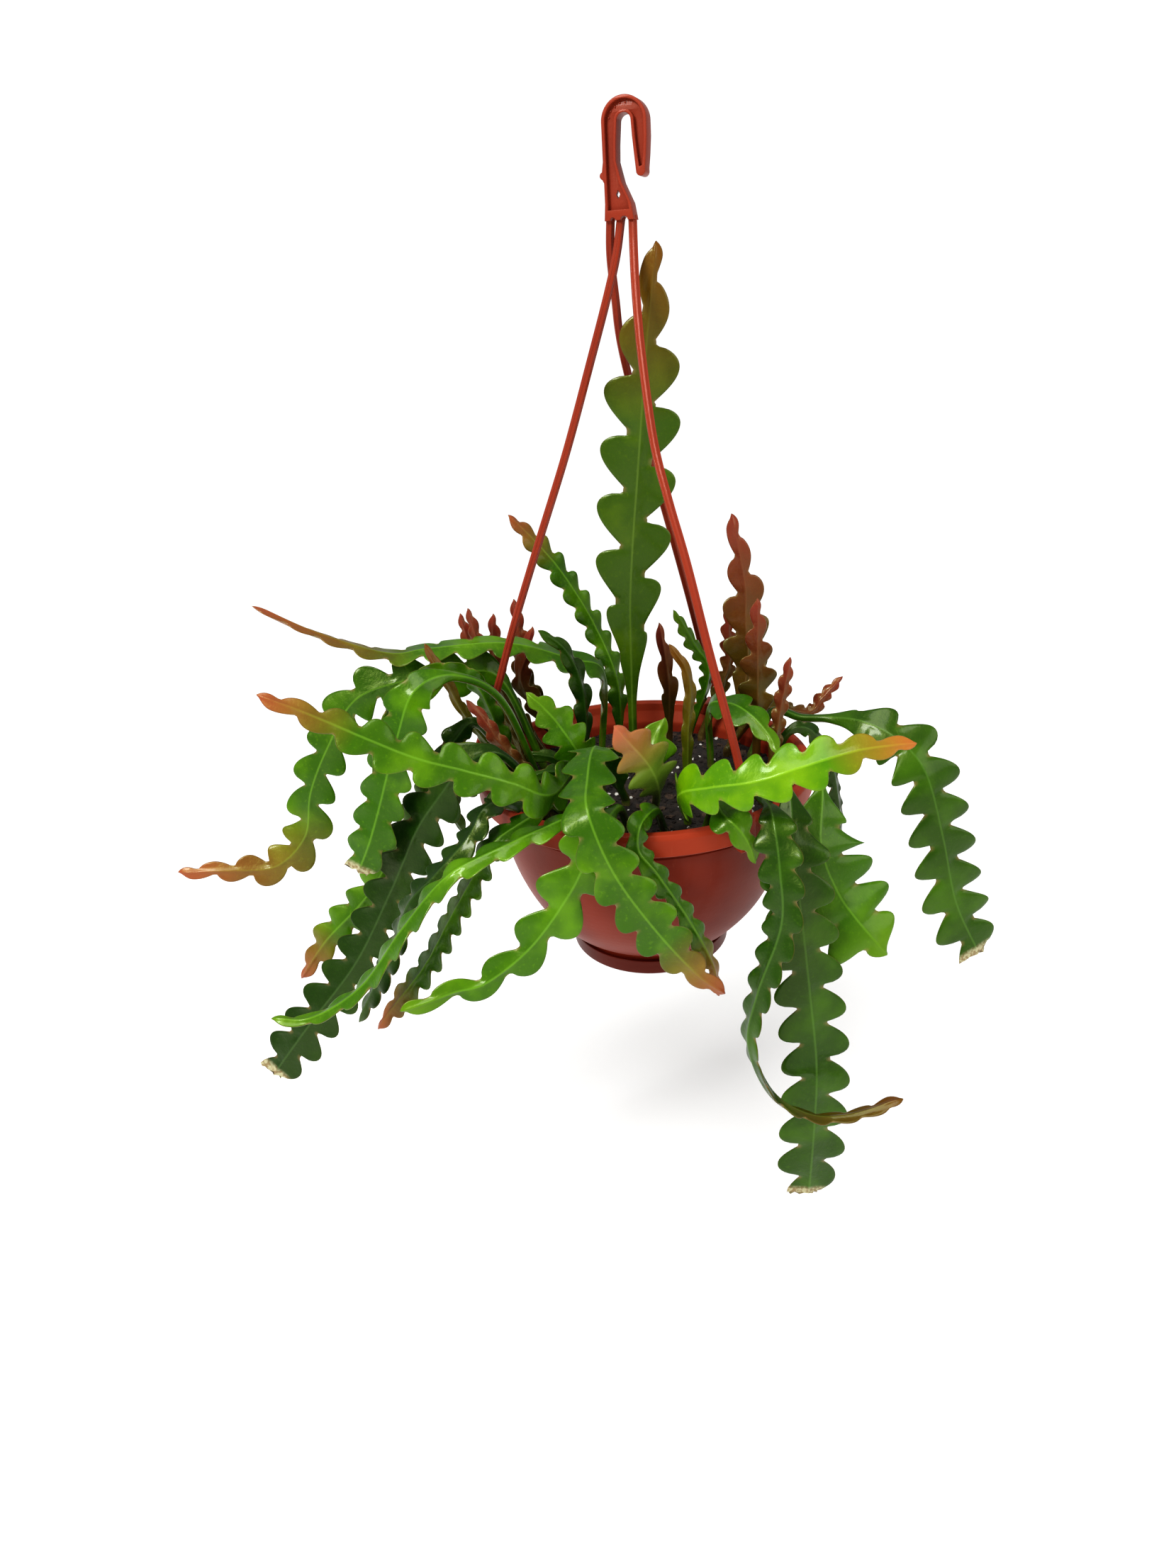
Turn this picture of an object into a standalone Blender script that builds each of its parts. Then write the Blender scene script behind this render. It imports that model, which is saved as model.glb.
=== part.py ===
"""Fishbone cactus in a terracotta-coloured hanging bowl with a one-piece hook hanger.

Origin: on the bowl's axis, at the height where the hook's throat bears on a rail. +Z up, -Y the front.
Lengths are in millimetres in the tables and turned to metres by MM.
"""
import math

import bmesh
import bpy
import numpy as np
from mathutils import Vector

MM = 0.001
CLEAR = 0.35              # gap kept between pieces that touch

# Bowl, drip saucer and soil
RIM_R = 100.0             # outer radius of the rolled rim
RIM_TOP = -352.0          # height of the rim below the bearing point
RIM_BAND = 13.0           # height of the rim band
WALL = 2.4                # wall thickness of the bowl
FLOOR_Z = -470.0          # underside of the bowl's floor
BOWL_WALL = [(91.5, -366), (89.5, -377), (85.5, -398), (79.5, -417), (70.5, -435), (58.5, -450), (50, -457)]
BOWL_SIDES = 40
FOOT_R = 46.0             # foot that the saucer clips on to
FOOT_TOP = -459.0
SOIL_TOP = -371.0
SOIL_SIDES = 32
HOLE_R = 3.5              # planting hole
HOLE_DEPTH = 20.0
HOLE_SIDES = 7
SAUCER_WALL = 1.8
SAUCER_H = 10.5

# Hook and hanger straps
HOOK_THICK = 9.0          # front to back
HOOK_TURN = -18.0         # degrees about the vertical through the throat
ARCH = (4.0, -3.7)        # centre of the hook's arch, x and z
ARCH_OUTER = 11.8
ARCH_INNER = 3.7
HOOK_TIP = -30.0
PLATE_BOTTOM = -50.0
STRAP_W = 4.4
STRAP_T = 3.0
STRAP_STATIONS = 16
CLIP_W = 9.0
CLIP_T = 2.6

# Stems
STALK_W = 5.2             # width of a stem where it leaves the soil
STALK_T = 4.4
STALK_UP = 5.0            # straight length above the soil
STALK_STEP = 11.0         # spacing of the stalk's sections
RIB_T = 3.4               # thickness at the rib of a full-width stem
MARGIN_T = 1.3            # thickness at the lobed margin
WIDE = 28.0               # stems at least this wide get rounder lobes

GREEN = (0.035, 0.16, 0.012)
DARK = (0.014, 0.075, 0.012)
LIME = (0.075, 0.24, 0.012)
BRONZE = (0.16, 0.05, 0.018)
OLIVE = (0.10, 0.12, 0.015)
TERRACOTTA = (0.42, 0.075, 0.035)


def emptied_scene():
    for old in list(bpy.data.objects):
        bpy.data.objects.remove(old, do_unlink=True)


def collection(name):
    made = bpy.data.collections.new(name)
    bpy.context.scene.collection.children.link(made)
    return made


def material(name, colour, roughness, metallic=0.0):
    made = bpy.data.materials.new(name)
    made.use_nodes = True
    shader = made.node_tree.nodes["Principled BSDF"]
    shader.inputs["Base Color"].default_value = (*colour, 1.0)
    shader.inputs["Roughness"].default_value = roughness
    shader.inputs["Metallic"].default_value = metallic
    return made


def placed(name, mesh, home, finish=None):
    made = bpy.data.objects.new(name, mesh)
    home.objects.link(made)
    if finish:
        mesh.materials.clear()
        mesh.materials.append(finish)
    return made


def mesh_of(source):
    """The evaluated mesh of a curve or modified object, welded; the source goes."""
    graph = bpy.context.evaluated_depsgraph_get()
    mesh = bpy.data.meshes.new_from_object(source.evaluated_get(graph))
    mesh.transform(source.matrix_world)
    shell = bmesh.new()
    shell.from_mesh(mesh)
    bmesh.ops.remove_doubles(shell, verts=shell.verts, dist=0.00001)
    bmesh.ops.recalc_face_normals(shell, faces=shell.faces)
    shell.to_mesh(mesh)
    shell.free()
    bpy.data.objects.remove(source, do_unlink=True)
    return mesh


def turned(name, profile, home, sides=BOWL_SIDES):
    """A closed (radius, height) outline turned about Z."""
    mesh = bpy.data.meshes.new(name)
    corners = [(r * MM, 0.0, z * MM) for r, z in profile]
    mesh.from_pydata(corners, [(i, i + 1) for i in range(len(corners) - 1)], [])
    spun = placed(name, mesh, home)
    screw = spun.modifiers.new("Turned", "SCREW")
    screw.steps = screw.render_steps = sides
    screw.use_merge_vertices = True
    screw.merge_threshold = 0.00001
    return mesh_of(spun)


def boolean(body, tools, operation):
    """One applied Boolean between body and a collection, which then goes."""
    change = body.modifiers.new(operation.title(), "BOOLEAN")
    change.operation = operation
    change.solver = "EXACT"
    change.operand_type = "COLLECTION"
    change.collection = tools
    graph = bpy.context.evaluated_depsgraph_get()
    mesh = bpy.data.meshes.new_from_object(body.evaluated_get(graph))
    body.modifiers.clear()
    body.data = mesh
    for tool in list(tools.objects):
        bpy.data.objects.remove(tool, do_unlink=True)
    bpy.data.collections.remove(tools)


def smooth_route(points, pieces=12):
    """Catmull-Rom curve through the points, as many short chords."""
    path = [Vector(p) for p in points]
    path = [path[0] * 2 - path[1]] + path + [path[-1] * 2 - path[-2]]
    dense = []
    for a, b, c, d in zip(path, path[1:], path[2:], path[3:]):
        for step in range(pieces):
            t = step / pieces
            dense.append(0.5 * (2 * b + (c - a) * t + (2 * a - 5 * b + 4 * c - d) * t * t
                                + (3 * b - a - 3 * c + d) * t ** 3))
    dense.append(path[-2])
    return dense


def along(dense, lengths):
    """Points and tangents at the given lengths along a dense polyline."""
    line = np.array(dense)
    steps = np.linalg.norm(np.diff(line, axis=0), axis=1)
    run = np.concatenate([[0.0], np.cumsum(steps)])
    spot = np.stack([np.interp(lengths, run, line[:, k]) for k in range(3)], axis=1)
    ahead = np.stack([np.interp(np.add(lengths, 1.5), run, line[:, k]) for k in range(3)], axis=1)
    behind = np.stack([np.interp(np.subtract(lengths, 1.5), run, line[:, k]) for k in range(3)], axis=1)
    heading = ahead - behind
    return spot, heading / np.linalg.norm(heading, axis=1)[:, None]


def route_length(dense):
    return float(np.linalg.norm(np.diff(np.array(dense), axis=0), axis=1).sum())


def carried_faces(headings, tip_face, twist=0.0):
    """The blade's facing at each station, carried back from the tip and turned twist degrees by the base."""
    face = np.array(tip_face, float)
    faces = []
    for k, heading in enumerate(headings[::-1]):
        face = face - heading * face.dot(heading)
        face = face / np.linalg.norm(face)
        turn = math.radians(twist) * k / (len(headings) - 1)
        faces.append(face * math.cos(turn) + np.cross(heading, face) * math.sin(turn))
    return faces[::-1]


def blade_mesh(name, spots, headings, faces, halves):
    """Closed loft of six-cornered sections: left, rib and right, front and back.

    halves holds (left, right, rib, margin) half sizes for each station.
    """
    corners = []
    for spot, heading, face, (left, right, rib, margin) in zip(spots, headings, faces, halves):
        side = np.cross(heading, face)
        for shift, depth in ((-left, margin), (0.0, rib), (right, margin),
                             (right, -margin), (0.0, -rib), (-left, -margin)):
            corners.append((spot + side * shift + face * depth) * MM)
    triangles = []
    count = len(spots)
    for k in range(count - 1):
        a, b = k * 6, k * 6 + 6
        for i, j in ((0, 1), (5, 4)):         # front and back, left of the rib
            front = i == 0
            pair = [(a + i, a + j, b + j), (a + i, b + j, b + i)]
            triangles += pair if front else [t[::-1] for t in pair]
        for i, j in ((1, 2), (4, 3)):         # right of the rib
            front = i == 1
            pair = [(a + i, a + j, b + i), (a + j, b + j, b + i)]
            triangles += pair if front else [t[::-1] for t in pair]
        for i, j in ((2, 3), (5, 0)):         # the two margins
            triangles += [(a + i, a + j, b + j), (a + i, b + j, b + i)]
    last = (count - 1) * 6
    triangles += [(0, 5, 4), (0, 4, 1), (1, 4, 3), (1, 3, 2)]
    triangles += [(last + p, last + q, last + r) for p, q, r in ((4, 5, 0), (1, 4, 0), (3, 4, 1), (2, 3, 1))]
    mesh = bpy.data.meshes.new(name)
    mesh.from_pydata([tuple(c) for c in corners], [], triangles)
    shell = bmesh.new()
    shell.from_mesh(mesh)
    bmesh.ops.recalc_face_normals(shell, faces=shell.faces)
    shell.to_mesh(mesh)
    shell.free()
    return mesh


def lobe(phase):
    """Height of a lobe along one pitch: a slow rounded rise and a quick fall to the notch."""
    phase = phase % 1.0
    if phase < 0.62:
        return ramp(phase / 0.62) ** 0.8
    return math.cos((phase - 0.62) / 0.38 * math.pi / 2) ** 0.7


def ramp(x):
    x = min(max(x, 0.0), 1.0)
    return x * x * (3 - 2 * x)


def stem(name, width, pitch, notch, face, route, cut=False, stalk=38.0, twist=0.0, swell=None, taper=None):
    """A flat jointless stem: round stalk, then alternate lobes on both margins up to the tip.

    It widens over the swell and narrows over the taper, both lengths; a cut tip stays wide.
    """
    swell, taper = swell or 1.6 * pitch, taper or 2.4 * pitch
    (x, y), rest = route[0], route[1:]
    foot = Vector((x, y, SOIL_TOP - HOLE_DEPTH + CLEAR))
    crown = Vector((x, y, SOIL_TOP + STALK_UP))
    dense = [foot] + smooth_route([crown] + [Vector(p) for p in rest])
    total = route_length(dense)
    straight = HOLE_DEPTH + STALK_UP - CLEAR
    samples = 3 if width >= WIDE else 2
    lobed = total - stalk
    count = max(2, round(lobed / pitch)) * samples
    risers = max(1, round((stalk - straight) / STALK_STEP))
    lengths = [0.0, *np.linspace(straight, stalk, risers + 1)[:-1], *np.linspace(stalk, total, count + 1)]
    spots, headings = along(dense, lengths)
    headings[0] = (0.0, 0.0, 1.0)
    faces = carried_faces(headings, face, twist)
    halves = []
    for k, length in enumerate(lengths):
        if length < stalk:
            halves.append((STALK_W / 2, STALK_W / 2, STALK_T / 2, 1.3))
            continue
        step = (k - risers - 1) / samples
        grow = ramp((length - stalk) / swell + 0.05)
        least = 0.6 if cut else 0.15
        fade = ramp((total - length) / taper) * (1 - least) + least
        full = STALK_W / 2 + (width / 2 - STALK_W / 2) * grow * fade
        depth = notch * grow
        left = full * (1 - depth * (1 - lobe(step)))
        right = full * (1 - depth * (1 - lobe(step + 0.5)))
        rib = (STALK_T + (RIB_T - STALK_T) * grow) / 2 * (0.6 + 0.4 * fade)
        halves.append((max(left, 1.2), max(right, 1.2), rib, MARGIN_T / 2))
    return blade_mesh(name, spots, headings, faces, halves)


# Each stem: full width, lobe pitch, notch depth, facing of its tip and the route of its rib.
# A route starts at its planting hole (x, y); the rest are points above the soil.
STEMS = {
    "tall": dict(width=44, pitch=34, notch=0.7, face=(0, -1, 0.1), tone="olive",
        stalk=66, swell=105, taper=90,
        route=[(-6, 22), (-5, 20, -306), (-4, 18, -261), (-1, 16, -223), (3, 14, -186),
               (7, 10, -147), (11, 5, -109), (15, 2, -78), (17, 1, -61)]),
    "left_diagonal": dict(width=18, pitch=14, notch=0.5, face=(0.3, -0.8, 0.5), tone="bronze_tip",
        route=[(-14, 54), (-15, 52, -321), (-27, 54, -285), (-43, 52, -253), (-57, 50, -232),
               (-75, 45, -209)]),
    "left_sweep": dict(width=22, pitch=21, notch=0.5, face=(0, 0.1, 1), tone="bronze_tip",
        twist=-50, taper=110,
        route=[(-26, 40), (-23, 36, -311), (-42, 28, -298), (-79, 15, -282), (-123, 5, -280),
               (-148, 0, -280), (-187, -6, -263), (-220, -8, -244)]),
    "left_front": dict(width=25, pitch=20, notch=0.55, face=(-0.1, -0.75, 0.65), tone="bronze_tip",
        stalk=68, taper=75,
        route=[(-30, -32), (-38, -60, -330), (-51, -96, -328), (-69, -110, -314),
               (-91, -117, -303), (-112, -121, -294), (-133, -124, -282), (-157, -126, -268),
               (-182, -126, -256)]),
    "left_fall": dict(width=31, pitch=22, notch=0.66, face=(-0.1, -0.95, 0.3), tone="bronze_tip",
        stalk=80, taper=95,
        route=[(-62, 22), (-84, 20, -306), (-109, 14, -297), (-139, 10, -299), (-171, 8, -309),
               (-191, 6, -338), (-205, 4, -367), (-212, 2, -396), (-233, 0, -415),
               (-263, -3, -415), (-293, -5, -414)]),
    "left_broad": dict(width=28, pitch=16, notch=0.42, face=(-0.1, -0.95, 0.2), tone="lime",
        cut=True, stalk=150, taper=24, swell=40,
        route=[(-60, -14), (-79, -28, -302), (-102, -46, -279), (-121, -60, -281),
               (-132, -64, -305), (-139, -66, -325), (-146, -68, -346), (-153, -70, -365),
               (-161, -70, -382)]),
    "left_narrow": dict(width=14, pitch=13, notch=0.45, face=(0.9, -0.4, 0.1), tone="green",
        route=[(-74, -10), (-93, -19, -294), (-117, -29, -280), (-135, -35, -292),
               (-144, -38, -308), (-151, -39, -330), (-154, -40, -346)]),
    "left_dark": dict(width=33, pitch=19, notch=0.62, face=(-0.25, -0.95, 0.15), tone="dark",
        cut=True, stalk=76, taper=24,
        route=[(-54, -36), (-79, -52, -324), (-98, -60, -325), (-113, -61, -342),
               (-127, -61, -361), (-137, -62, -381), (-147, -62, -401), (-170, -66, -442),
               (-201, -70, -480), (-226, -72, -512)]),
    "left_ribbon": dict(width=16, pitch=20, notch=0.5, face=(-0.5, -0.35, 0.8), tone="green",
        stalk=66, taper=90,
        route=[(-24, -54), (-28, -80, -344), (-42, -97, -342), (-76, -114, -349),
               (-102, -122, -359), (-126, -126, -385), (-150, -128, -416), (-179, -128, -434),
               (-200, -128, -433)]),
    "left_drop_a": dict(width=18, pitch=13, notch=0.5, face=(-0.7, -0.6, 0.4), tone="dark", stalk=64,
        route=[(-48, -42), (-60, -64, -345), (-68, -78, -342), (-83, -94, -335), (-93, -103, -348),
               (-111, -108, -366), (-126, -108, -382), (-138, -108, -410), (-161, -108, -452)]),
    "left_drop_b": dict(width=18, pitch=13, notch=0.5, face=(-0.6, -0.7, 0.4), tone="bronze_tip", stalk=64,
        route=[(-40, -60), (-50, -76, -344), (-58, -88, -343), (-81, -102, -352),
               (-90, -101, -368), (-106, -97, -396), (-124, -94, -428), (-144, -92, -454),
               (-156, -92, -469)]),
    "front_left": dict(width=40, pitch=30, notch=0.7, face=(-0.1, -0.97, 0.2), tone="green",
        stalk=66, taper=95,
        route=[(-12, -58), (-16, -82, -344), (-24, -106, -341), (-32, -114, -353),
               (-42, -117, -372), (-63, -120, -400), (-87, -124, -418), (-105, -128, -421),
               (-131, -134, -427)]),
    "front_mid": dict(width=29, pitch=18, notch=0.48, face=(0, -0.97, 0.2), tone="bronze_tip", taper=62,
        route=[(-12, -26), (-26, -66, -317), (-31, -104, -321), (-30, -124, -328),
               (-19, -130, -356), (0, -128, -389), (20, -122, -419), (35, -118, -435)]),
    "front_thin": dict(width=14, pitch=13, notch=0.5, face=(0.5, -0.85, 0.2), tone="bronze_tip",
        stalk=50, taper=50,
        route=[(8, -64), (3, -84, -345), (-6, -104, -343), (-7, -108, -356), (1, -110, -367),
               (16, -109, -394), (28, -108, -421), (33, -106, -445)]),
    "centre_pink": dict(width=30, pitch=18, notch=0.5, face=(0, -0.92, 0.4), tone="bronze_tip",
        stalk=56, swell=22, taper=30,
        route=[(4, -44), (5, -64, -346), (4, -80, -330), (-1, -93, -313), (-9, -103, -298),
               (-16, -110, -286)]),
    "right_lime": dict(width=27, pitch=18, notch=0.52, face=(0, -0.85, 0.55), tone="lime", taper=60,
        route=[(22, -54), (17, -90, -334), (31, -104, -324), (52, -114, -317), (74, -117, -309),
               (101, -116, -302), (130, -112, -301)]),
    "right_arch": dict(width=42, pitch=21, notch=0.66, face=(0.15, -0.97, 0.2), tone="green",
        cut=True, stalk=88, swell=60, taper=26,
        route=[(68, 28), (82, 34, -340), (100, 30, -343), (118, 24, -342), (135, 12, -341),
               (153, 0, -349), (166, -10, -366), (176, -15, -405), (185, -18, -448),
               (200, -20, -483)]),
    "right_long": dict(width=38, pitch=22, notch=0.62, face=(0.05, -1, 0.1), tone="green",
        cut=True, stalk=78, taper=26,
        route=[(50, -38), (64, -58, -342), (74, -75, -342), (73, -98, -363), (76, -104, -396),
               (81, -105, -446), (85, -105, -493), (84, -105, -536), (82, -103, -581)]),
    "right_ribbon": dict(width=28, pitch=16, notch=0.45, face=(0.2, -0.2, 0.95), tone="green",
        stalk=76, twist=-110, taper=260,
        route=[(44, -56), (54, -70, -344), (60, -84, -343), (62, -103, -342), (64, -116, -365),
               (64, -122, -393), (52, -124, -431), (47, -124, -462), (58, -124, -494),
               (79, -124, -510), (102, -124, -510), (128, -122, -502)]),
    "right_fan": dict(width=54, pitch=21, notch=0.58, face=(0.4, -0.9, 0.2), tone="green",
        stalk=92, swell=30, taper=22,
        route=[(64, -20), (80, -42, -342), (93, -62, -340), (90, -82, -371), (98, -86, -396),
               (108, -89, -412), (120, -92, -427), (125, -93, -432)]),
    "right_back": dict(width=12, pitch=11, notch=0.45, face=(0.6, -0.7, 0.2), tone="dark", stalk=50,
        route=[(76, 6), (88, 8, -343), (102, 10, -344), (114, 12, -368), (118, 12, -389),
               (120, 12, -408), (118, 12, -429)]),
    "bronze_tall": dict(width=31, pitch=26, notch=0.62, face=(0, -0.95, 0.3), tone="bronze",
        stalk=50, taper=80,
        route=[(58, 50), (69, 52, -315), (68, 52, -286), (68, 52, -263), (64, 50, -238),
               (60, 50, -216)]),
    "bronze_mid": dict(width=24, pitch=17, notch=0.62, face=(0, -0.95, 0.3), tone="bronze",
        stalk=46, taper=55,
        route=[(70, 18), (71, 18, -314), (71, 18, -288), (71, 18, -261)]),
    "bronze_thin": dict(width=12, pitch=11, notch=0.6, face=(0, -0.95, 0.3), tone="bronze",
        route=[(40, 64), (58, 68, -322), (59, 68, -299), (59, 68, -279)]),
    "bronze_low": dict(width=10, pitch=10, notch=0.5, face=(0, -0.95, 0.3), tone="bronze",
        route=[(74, -10), (81, -4, -324), (84, -4, -307), (87, -4, -291)]),
    "bronze_lean": dict(width=10, pitch=9, notch=0.5, face=(0, -0.95, 0.3), tone="bronze",
        route=[(54, 38), (78, 48, -343), (108, 54, -349), (118, 56, -340), (131, 58, -327)]),
    "bud_brown": dict(width=14, pitch=20, notch=0.55, face=(0, -0.95, 0.3), tone="bronze",
        route=[(18, 58), (19, 54, -330), (17, 54, -306), (14, 54, -284)]),
    "bud_thin": dict(width=8, pitch=18, notch=0.3, face=(0, -0.95, 0.3), tone="olive",
        route=[(24, -24), (25, -26, -327), (27, -25, -301), (24, -25, -286), (16, -25, -273)]),
    "bud_green": dict(width=12, pitch=10, notch=0.5, face=(0.5, -0.8, 0.3), tone="green",
        route=[(32, 66), (45, 68, -324), (36, 68, -304), (24, 68, -280)]),
    "red_a": dict(width=10, pitch=11, notch=0.5, face=(0, -0.95, 0.3), tone="bronze",
        route=[(-70, 30), (-100, 34, -310), (-104, 34, -286), (-108, 34, -266)]),
    "red_b": dict(width=10, pitch=11, notch=0.5, face=(0, -0.95, 0.3), tone="bronze",
        route=[(-72, 14), (-94, 27, -309), (-98, 27, -281), (-102, 27, -261)]),
    "red_c": dict(width=14, pitch=13, notch=0.55, face=(0, -0.95, 0.3), tone="bronze",
        route=[(-62, 42), (-87, 42, -320), (-90, 44, -295), (-89, 44, -270)]),
    "red_d": dict(width=13, pitch=13, notch=0.5, face=(0, -0.95, 0.3), tone="bronze",
        route=[(-50, 56), (-74, 58, -316), (-75, 58, -289), (-77, 58, -265)]),
    "red_e": dict(width=15, pitch=16, notch=0.55, face=(0, -0.95, 0.3), tone="bronze",
        route=[(-46, 40), (-73, 42, -318), (-70, 42, -298), (-65, 42, -279)]),
    "stalk_brown": dict(width=7, pitch=16, notch=0.3, face=(0, -0.95, 0.3), tone="olive",
        route=[(-74, 2), (-101, -11, -319), (-112, -12, -294), (-123, -12, -270)]),
    "shoot_orange": dict(width=10, pitch=12, notch=0.4, face=(0, -0.95, 0.3), tone="bronze",
        route=[(-46, -16), (-68, -32, -343), (-82, -36, -322), (-90, -37, -307), (-98, -38, -296)]),
    "centre_left": dict(width=26, pitch=13, notch=0.5, face=(0.1, -0.9, 0.4), tone="green", taper=30,
        route=[(-26, -8), (-39, -30, -332), (-49, -28, -316), (-57, -25, -307), (-66, -22, -299)]),
    "dark_hook": dict(width=16, pitch=20, notch=0.5, face=(0.2, -0.8, 0.5), tone="dark",
        route=[(-36, 10), (-35, 8, -320), (-39, 4, -294), (-46, 0, -279), (-58, -4, -268)]),
    "centre_leaf": dict(width=34, pitch=18, notch=0.5, face=(0, -0.95, 0.3), tone="green", stalk=36, taper=26,
        route=[(6, -8), (5, -20, -346), (8, -16, -333), (13, -12, -322)]),
    "right_inner": dict(width=24, pitch=17, notch=0.5, face=(0.1, -0.8, 0.6), tone="green",
        route=[(42, 22), (42, 18, -330), (53, 8, -324), (63, -4, -326), (72, -14, -334),
               (77, -24, -343)]),
    "front_right": dict(width=26, pitch=17, notch=0.5, face=(0.2, -0.95, 0.3), tone="green", stalk=50,
        route=[(30, -70), (35, -82, -344), (38, -98, -343), (44, -104, -347), (49, -105, -355),
               (53, -105, -367)]),
    "left_back": dict(width=20, pitch=16, notch=0.5, face=(-0.3, -0.9, 0.3), tone="dark", stalk=82,
        route=[(-66, -24), (-92, -28, -316), (-106, -30, -321), (-114, -32, -337),
               (-115, -32, -359), (-107, -32, -381)]),
    "inner_a": dict(width=24, pitch=18, notch=0.5, face=(-0.1, -0.8, 0.6), tone="dark",
        route=[(-40, 14), (-52, 2, -352), (-62, 0, -348), (-72, 0, -347)]),
    "inner_b": dict(width=18, pitch=18, notch=0.5, face=(-0.1, -0.8, 0.6), tone="dark",
        route=[(-40, -26), (-50, -44, -340), (-66, -52, -338)]),
    "left_rim": dict(width=22, pitch=16, notch=0.5, face=(-0.2, -0.8, 0.6), tone="dark",
        route=[(-58, -44), (-68, -56, -345), (-80, -66, -343), (-92, -74, -353)]),
    "left_hidden": dict(width=24, pitch=17, notch=0.5, face=(-0.3, -0.9, 0.2), tone="bronze_tip", stalk=62,
        route=[(-66, -38), (-88, -46, -327), (-111, -47, -338), (-137, -46, -371),
               (-164, -46, -411), (-192, -46, -440), (-211, -46, -466)]),
}


TONES = {
    "green": (GREEN, 0.3), "dark": (DARK, 0.32), "lime": (LIME, 0.26),
    "olive": (OLIVE, 0.34), "bronze": (BRONZE, 0.4), "bronze_tip": (GREEN, 0.3),
}


def bowl_and_saucer(home):
    """The bowl with its rolled rim, and the clip-on saucer under its foot."""
    band_foot = RIM_TOP - RIM_BAND
    outer = [(RIM_R - 4, RIM_TOP), (RIM_R - 1, RIM_TOP - 1), (RIM_R, RIM_TOP - 3), (RIM_R, band_foot),
             (RIM_R - 3, band_foot - 1), *BOWL_WALL]
    foot = [(FOOT_R, FOOT_TOP), (FOOT_R, FLOOR_Z), (0, FLOOR_Z)]
    floor = [(0, FLOOR_Z + WALL), (FOOT_R - WALL, FLOOR_Z + WALL), (FOOT_R - WALL, FOOT_TOP + 1)]
    inner = [(r - WALL, z + 1) for r, z in BOWL_WALL[::-1]]
    lip = [(RIM_R - 7.5, RIM_TOP - 6), (RIM_R - 6.5, RIM_TOP - 0.7)]
    profile = floor + inner + lip + outer + foot
    placed("bowl", turned("bowl", profile, home), home, material("Bowl plastic", TERRACOTTA, 0.38))

    base = FLOOR_Z - CLEAR
    bottom = base - SAUCER_WALL
    lip = bottom + SAUCER_H
    inside = FOOT_R + CLEAR
    dish = [(0, base), (inside, base), (inside + 0.5, lip), (inside + 0.5 + SAUCER_WALL, lip),
            (inside + SAUCER_WALL, bottom + 2), (inside - 1, bottom), (0, bottom)]
    dark_plastic = material("Saucer plastic", (0.26, 0.042, 0.022), 0.42)
    placed("saucer", turned("saucer", dish[::-1], home), home, dark_plastic)


def inner_radius(z):
    """Radius of the bowl's inner wall at a height, a little inside it."""
    radii, heights = zip(*BOWL_WALL[::-1])
    return float(np.interp(z - 1.0, heights, radii)) - WALL - 0.5


def soil(home, plantings):
    """Potting mix filling the bowl, with a plain hole for each stem."""
    edge = [(inner_radius(z) - CLEAR, z) for z in (SOIL_TOP, -397, -416, -434, -448, -454)]
    floor = FLOOR_Z + WALL + CLEAR
    base = FOOT_R - WALL - 1
    profile = [(0, SOIL_TOP), *edge, (base, FOOT_TOP + 1.5), (base, floor), (0, floor)]
    earth = material("Potting mix", (0.022, 0.014, 0.01), 0.95)
    bed = placed("soil", turned("soil", profile, home, SOIL_SIDES), home, earth)
    cutters = collection("Planting holes")
    for x, y in plantings:
        bpy.ops.mesh.primitive_cylinder_add(vertices=HOLE_SIDES, radius=HOLE_R * MM, depth=2 * HOLE_DEPTH * MM,
                                            location=(x * MM, y * MM, SOIL_TOP * MM))
        hole = bpy.context.object
        for used in hole.users_collection:
            used.objects.unlink(hole)
        cutters.objects.link(hole)
    boolean(bed, cutters, "DIFFERENCE")


def arc(centre, radius, start, end, steps):
    turn = [math.radians(start + (end - start) * k / steps) for k in range(steps + 1)]
    return [(centre[0] + radius * math.cos(t), centre[1] + radius * math.sin(t)) for t in turn]


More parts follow.
